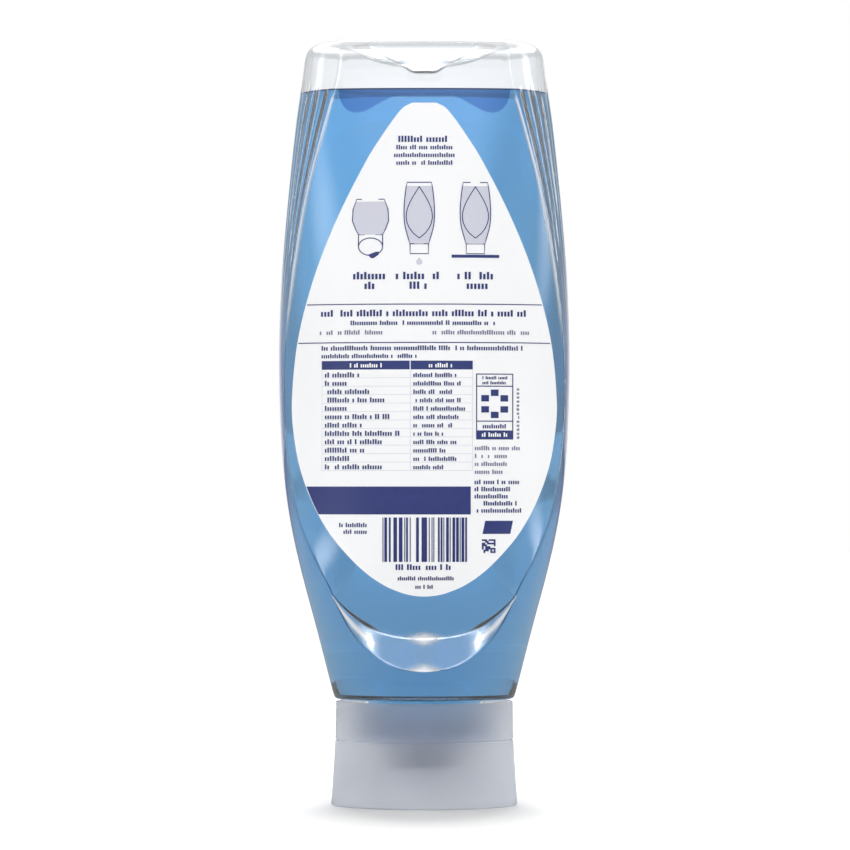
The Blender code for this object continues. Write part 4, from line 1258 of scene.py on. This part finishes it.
def natural_polypropylene(name, roughness, clearness, cover, colour):
    """The cap's plastic with one face finish: how rough, how clear, how much of it shows, and its colour."""
    finish, tree = new_material(name)
    place = add_node(tree, "ShaderNodeTexCoord")
    grain = add_node(tree, "ShaderNodeTexNoise", {
        "Vector": place.outputs["Object"], "Scale": 1 / PIT, "Detail": 3.0})
    cloud = add_node(tree, "ShaderNodeTexNoise", {
        "Vector": place.outputs["Object"], "Scale": 1 / CLOUD, "Detail": 2.0})
    bump = add_node(tree, "ShaderNodeBump", {
        "Strength": 0.25, "Distance": 0.06 * MM, "Height": grain.outputs["Fac"]})
    clouded = [0.93 * level for level in linear(colour)[:3]] + [1.0]
    tone = add_node(tree, "ShaderNodeMix", {
        "Factor": cloud.outputs["Fac"], 6: linear(colour), 7: clouded}, data_type="RGBA")
    shader = add_node(tree, "ShaderNodeBsdfPrincipled", {
        "Base Color": tone.outputs[2], "Roughness": roughness, "IOR": 1.45, "Transmission Weight": clearness,
        "Alpha": cover, "Normal": bump.outputs[0]})
    add_node(tree, "ShaderNodeOutputMaterial", {"Surface": shader.outputs[0]})
    return finish


FROSTED, POLISHED, PAINTED_SHADE, PAINTED_BLUE_LIGHT = range(4)
# The third finish paints shade on the tube; the fourth paints blue light on the inner skirt.
for kind, roughness, clearness, cover, colour in (
        ("frosted", 0.9, 0.86, 1.0, "#f0f3f8"), ("polished", 0.1, 0.6, 0.05, "#f6f7f9"),
        ("thick", 0.3, 0.25, 0.85, "#8694b8"), ("painted-blue-light", 0.3, 0.4, 0.14, "#5a9cff")):
    cap.data.materials.append(natural_polypropylene(
        f"{kind} natural polypropylene", roughness, clearness, cover, colour))
for face in cap.data.polygons:
    radius = math.hypot(face.center.x, face.center.y)
    if radius > CAP_TOP_RADIUS - CAP_WALL / 2:
        face.material_index = FROSTED
    elif radius < TUBE_RADIUS + 2 * TUBE_WALL and face.center.z < DECK_Z:
        # Painted shade on the tube.
        face.material_index = PAINTED_SHADE
    elif radius < BORE_RADIUS + 2 * MM and face.center.z > DECK_Z + CAP_EDGE:
        # Painted blue light on the inner skirt.
        face.material_index = PAINTED_BLUE_LIGHT
    else:
        face.material_index = POLISHED
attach(cap, "cap")
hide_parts("cap")


# Threads: one and a half turns of half-round bead, blown on the neck and moulded in the skirt's bore.
# Both follow the same right-handed helix, half a pitch apart, so they slide past each other in turning.
THREAD_PITCH = 4.2 * MM
THREAD_TURNS = 1.5
THREAD_START = 22.2 * MM
NECK_BEAD = 1.0 * MM
BORE_BEAD = 0.85 * MM
RUN_OUT = 0.08
THREAD_INPUTS = (
    ("Radius", FLOAT), ("Pitch", FLOAT), ("Turns", FLOAT), ("Start height", FLOAT), ("Start angle", FLOAT),
    ("Bead radius", FLOAT), ("Run out", FLOAT), ("Material", FINISH),
)
# The helix: name, operation and three terms, each a number, an input or an earlier sum.
HELIX_SUMS = (
    ("turns", "MULTIPLY", "along", "Turns", 0.0),
    ("angle", "MULTIPLY_ADD", "turns", 2 * math.pi, "Start angle"),
    ("cosine", "COSINE", "angle", 0.0, 0.0),
    ("sine", "SINE", "angle", 0.0, 0.0),
    ("x", "MULTIPLY", "cosine", "Radius", 0.0),
    ("y", "MULTIPLY", "sine", "Radius", 0.0),
    ("z", "MULTIPLY_ADD", "turns", "Pitch", "Start height"),
    ("from far end", "SUBTRACT", 1.0, "along", 0.0),
    ("from end", "MINIMUM", "along", "from far end", 0.0),
)


def thread_group():
    """A bead along a helix that starts thin and runs out thin."""
    tree = bpy.data.node_groups.new("thread", "GeometryNodeTree")
    for name, kind in THREAD_INPUTS:
        tree.interface.new_socket(name, in_out="INPUT", socket_type=kind)
    tree.interface.new_socket("Geometry", in_out="OUTPUT", socket_type="NodeSocketGeometry")
    given = add_node(tree, "NodeGroupInput").outputs

    line = add_node(tree, "GeometryNodeCurvePrimitiveLine")
    points = add_node(tree, "GeometryNodeResampleCurve", {"Curve": line.outputs[0], "Count": 145})
    value = {name: given[name] for name, kind in THREAD_INPUTS}
    value["along"] = add_node(tree, "GeometryNodeSplineParameter").outputs["Factor"]
    for name, operation, first, second, third in HELIX_SUMS:
        value[name] = add_node(tree, "ShaderNodeMath", {
            0: value.get(first, first), 1: value.get(second, second), 2: value.get(third, third)},
            operation=operation).outputs[0]
    spot = add_node(tree, "ShaderNodeCombineXYZ", {"X": value["x"], "Y": value["y"], "Z": value["z"]})
    helix = add_node(tree, "GeometryNodeSetPosition", {
        "Geometry": points.outputs[0], "Position": spot.outputs[0]})
    full = add_node(tree, "ShaderNodeMapRange", {
        "Value": value["from end"], "From Max": given["Run out"], "To Min": 0.15},
        interpolation_type="SMOOTHSTEP")
    bead = add_node(tree, "ShaderNodeMath", {
        0: full.outputs[0], 1: given["Bead radius"]}, operation="MULTIPLY")
    beaded = add_node(tree, "GeometryNodeSetCurveRadius", {
        "Curve": helix.outputs[0], "Radius": bead.outputs[0]})
    section = add_node(tree, "GeometryNodeCurvePrimitiveCircle", {"Resolution": 14, "Radius": 1.0})
    swept = add_node(tree, "GeometryNodeCurveToMesh", {
        "Curve": beaded.outputs[0], "Profile Curve": section.outputs[0], "Fill Caps": True})
    if "Scale" in swept.inputs:
        tree.links.new(bead.outputs[0], swept.inputs["Scale"])
    smooth = add_node(tree, "GeometryNodeSetShadeSmooth", {"Geometry": swept.outputs[0]})
    real = add_node(tree, "GeometryNodeRealizeInstances", {"Geometry": smooth.outputs[0]})
    coated = add_node(tree, "GeometryNodeSetMaterial", {
        "Geometry": real.outputs[0], "Material": given["Material"]})
    add_node(tree, "NodeGroupOutput", {"Geometry": coated.outputs[0]})
    return tree


THREADS = thread_group()
# The neck's bead starts at +X; the bore's starts a quarter turn on and a quarter of a pitch lower.
for name, body, slot, material, radius, bead, height, angle in (
        ("neck_thread", "bottle", "clear_pet", pet, NECK_RADIUS, NECK_BEAD, THREAD_START, 0.0),
        ("bore_thread", "cap", "frosted_polypropylene", cap.data.materials[POLISHED], BORE_RADIUS, BORE_BEAD,
         THREAD_START - THREAD_PITCH / 4, math.pi / 2)):
    thread = link_piece(name, bpy.data.meshes.new(name))
    winding = thread.modifiers.new("winding", "NODES")
    winding.node_group = THREADS
    chosen = (radius, THREAD_PITCH, THREAD_TURNS, height, angle, bead, RUN_OUT, material)
    for (key, kind), value in zip(THREAD_INPUTS, chosen):
        winding[THREADS.interface.items_tree[key].identifier] = value
    thread = link_piece(name, settled(thread))
    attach(thread, body)


# Gasket: a washer punched from white polyethylene foam, pressed between the cap's deck and the bottle's
# lip. Closed cells of a quarter of a millimetre give it a pitted, matt white.
CELL = 0.25 * MM


def finish_solid(name, finish):
    """Gives a solid that is kept as the CAD made it the finish of its real material."""
    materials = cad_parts[name].data.materials
    materials.clear()
    materials.append(finish)


foam, tree = new_material("polyethylene foam")
place = add_node(tree, "ShaderNodeTexCoord")
cells = add_node(tree, "ShaderNodeTexVoronoi", {"Vector": place.outputs["Object"], "Scale": 1 / CELL})
tone = add_node(tree, "ShaderNodeMix", {
    "Factor": cells.outputs["Distance"], 6: linear("#eeeeea"), 7: linear("#dededa")}, data_type="RGBA")
bump = add_node(tree, "ShaderNodeBump", {
    "Strength": 0.5, "Distance": 0.08 * MM, "Height": cells.outputs["Distance"]})
shader = add_node(tree, "ShaderNodeBsdfPrincipled", {
    "Base Color": tone.outputs[2], "Roughness": 0.8, "Normal": bump.outputs[0]})
add_node(tree, "ShaderNodeOutputMaterial", {"Surface": shader.outputs[0]})
finish_solid("gasket", foam)


# Valve: a dished diaphragm moulded in silicone, with crossed slits that open when the bottle is squeezed.
# The closed slits show as two fine dark lines on milky rubber with a soft sheen, hazy over about 2 mm.
SLIT_REACH = 3.2 * MM
SLIT_HALF = 0.05 * MM
SLIT_EDGE = 0.11 * MM
HAZE = 2 * MM
silicone, tree = new_material("translucent silicone")
place = add_node(tree, "ShaderNodeTexCoord")
spot = add_node(tree, "ShaderNodeSeparateXYZ", {0: place.outputs["Object"]})
flat = add_node(tree, "ShaderNodeCombineXYZ", {"X": spot.outputs["X"], "Y": spot.outputs["Y"]})
radius = add_node(tree, "ShaderNodeVectorMath", {0: flat.outputs[0]}, operation="LENGTH")
across = add_node(tree, "ShaderNodeMath", {0: spot.outputs["X"]}, operation="ABSOLUTE")
along = add_node(tree, "ShaderNodeMath", {0: spot.outputs["Y"]}, operation="ABSOLUTE")
nearest = add_node(tree, "ShaderNodeMath", {0: across.outputs[0], 1: along.outputs[0]}, operation="MINIMUM")
cut = add_node(tree, "ShaderNodeMapRange", {
    "Value": nearest.outputs[0], "From Min": SLIT_HALF, "From Max": SLIT_EDGE, "To Min": 1.0, "To Max": 0.0})
inside = add_node(tree, "ShaderNodeMath", {0: radius.outputs["Value"], 1: SLIT_REACH}, operation="LESS_THAN")
slit = add_node(tree, "ShaderNodeMath", {0: cut.outputs[0], 1: inside.outputs[0]}, operation="MULTIPLY")
haze = add_node(tree, "ShaderNodeTexNoise", {
    "Vector": place.outputs["Object"], "Scale": 1 / HAZE, "Detail": 2.0})
tone = add_node(tree, "ShaderNodeMix", {
    "Factor": haze.outputs["Fac"], 6: linear("#e2e6e9"), 7: linear("#d3d9dd")}, data_type="RGBA")
marked = add_node(tree, "ShaderNodeMix", {
    "Factor": slit.outputs[0], 6: tone.outputs[2], 7: linear("#5c6268")}, data_type="RGBA")
shader = add_node(tree, "ShaderNodeBsdfPrincipled", {
    "Base Color": marked.outputs[2], "Roughness": 0.45, "IOR": 1.41, "Transmission Weight": 0.3})
add_node(tree, "ShaderNodeOutputMaterial", {"Surface": shader.outputs[0]})
finish_solid("valve", silicone)


# Valve retainer: a ring moulded in white polypropylene and snapped into the outlet under the valve.
# Its mould leaves a satin white. The satin is finer than the eye sees, and is drawn as a 0.6 mm grain.
SATIN = 0.625 * MM
finish_solid("valve_retainer", grained_finish(
    "white polypropylene", SATIN, 3.0, "#e8eaec", "#dcdfe2", (0.3, 0.03 * MM),
    {"Roughness": 0.38, "IOR": 1.49}))


# Peel seal: a disc of aluminium foil laminated with plastic film, welded over the outlet, with a bent tab.
# It is dull silver, and crumples a few millimetres across turn its shine up and down.
CRUMPLE = 3.125 * MM
foil, tree = new_material("aluminium foil laminate")
place = add_node(tree, "ShaderNodeTexCoord")
crumple = add_node(tree, "ShaderNodeTexNoise", {
    "Vector": place.outputs["Object"], "Scale": 1 / CRUMPLE, "Detail": 4.0})
shine = add_node(tree, "ShaderNodeMapRange", {
    "Value": crumple.outputs["Fac"], "To Min": 0.24, "To Max": 0.42})
tone = add_node(tree, "ShaderNodeMix", {
    "Factor": crumple.outputs["Fac"], 6: linear("#dcdee1"), 7: linear("#c9ccd1")}, data_type="RGBA")
bump = add_node(tree, "ShaderNodeBump", {
    "Strength": 0.35, "Distance": 0.2 * MM, "Height": crumple.outputs["Fac"]})
shader = add_node(tree, "ShaderNodeBsdfPrincipled", {
    "Base Color": tone.outputs[2], "Roughness": shine.outputs[0], "Metallic": 0.85,
    "Normal": bump.outputs[0]})
add_node(tree, "ShaderNodeOutputMaterial", {"Surface": shader.outputs[0]})
finish_solid("peel_seal", foil)
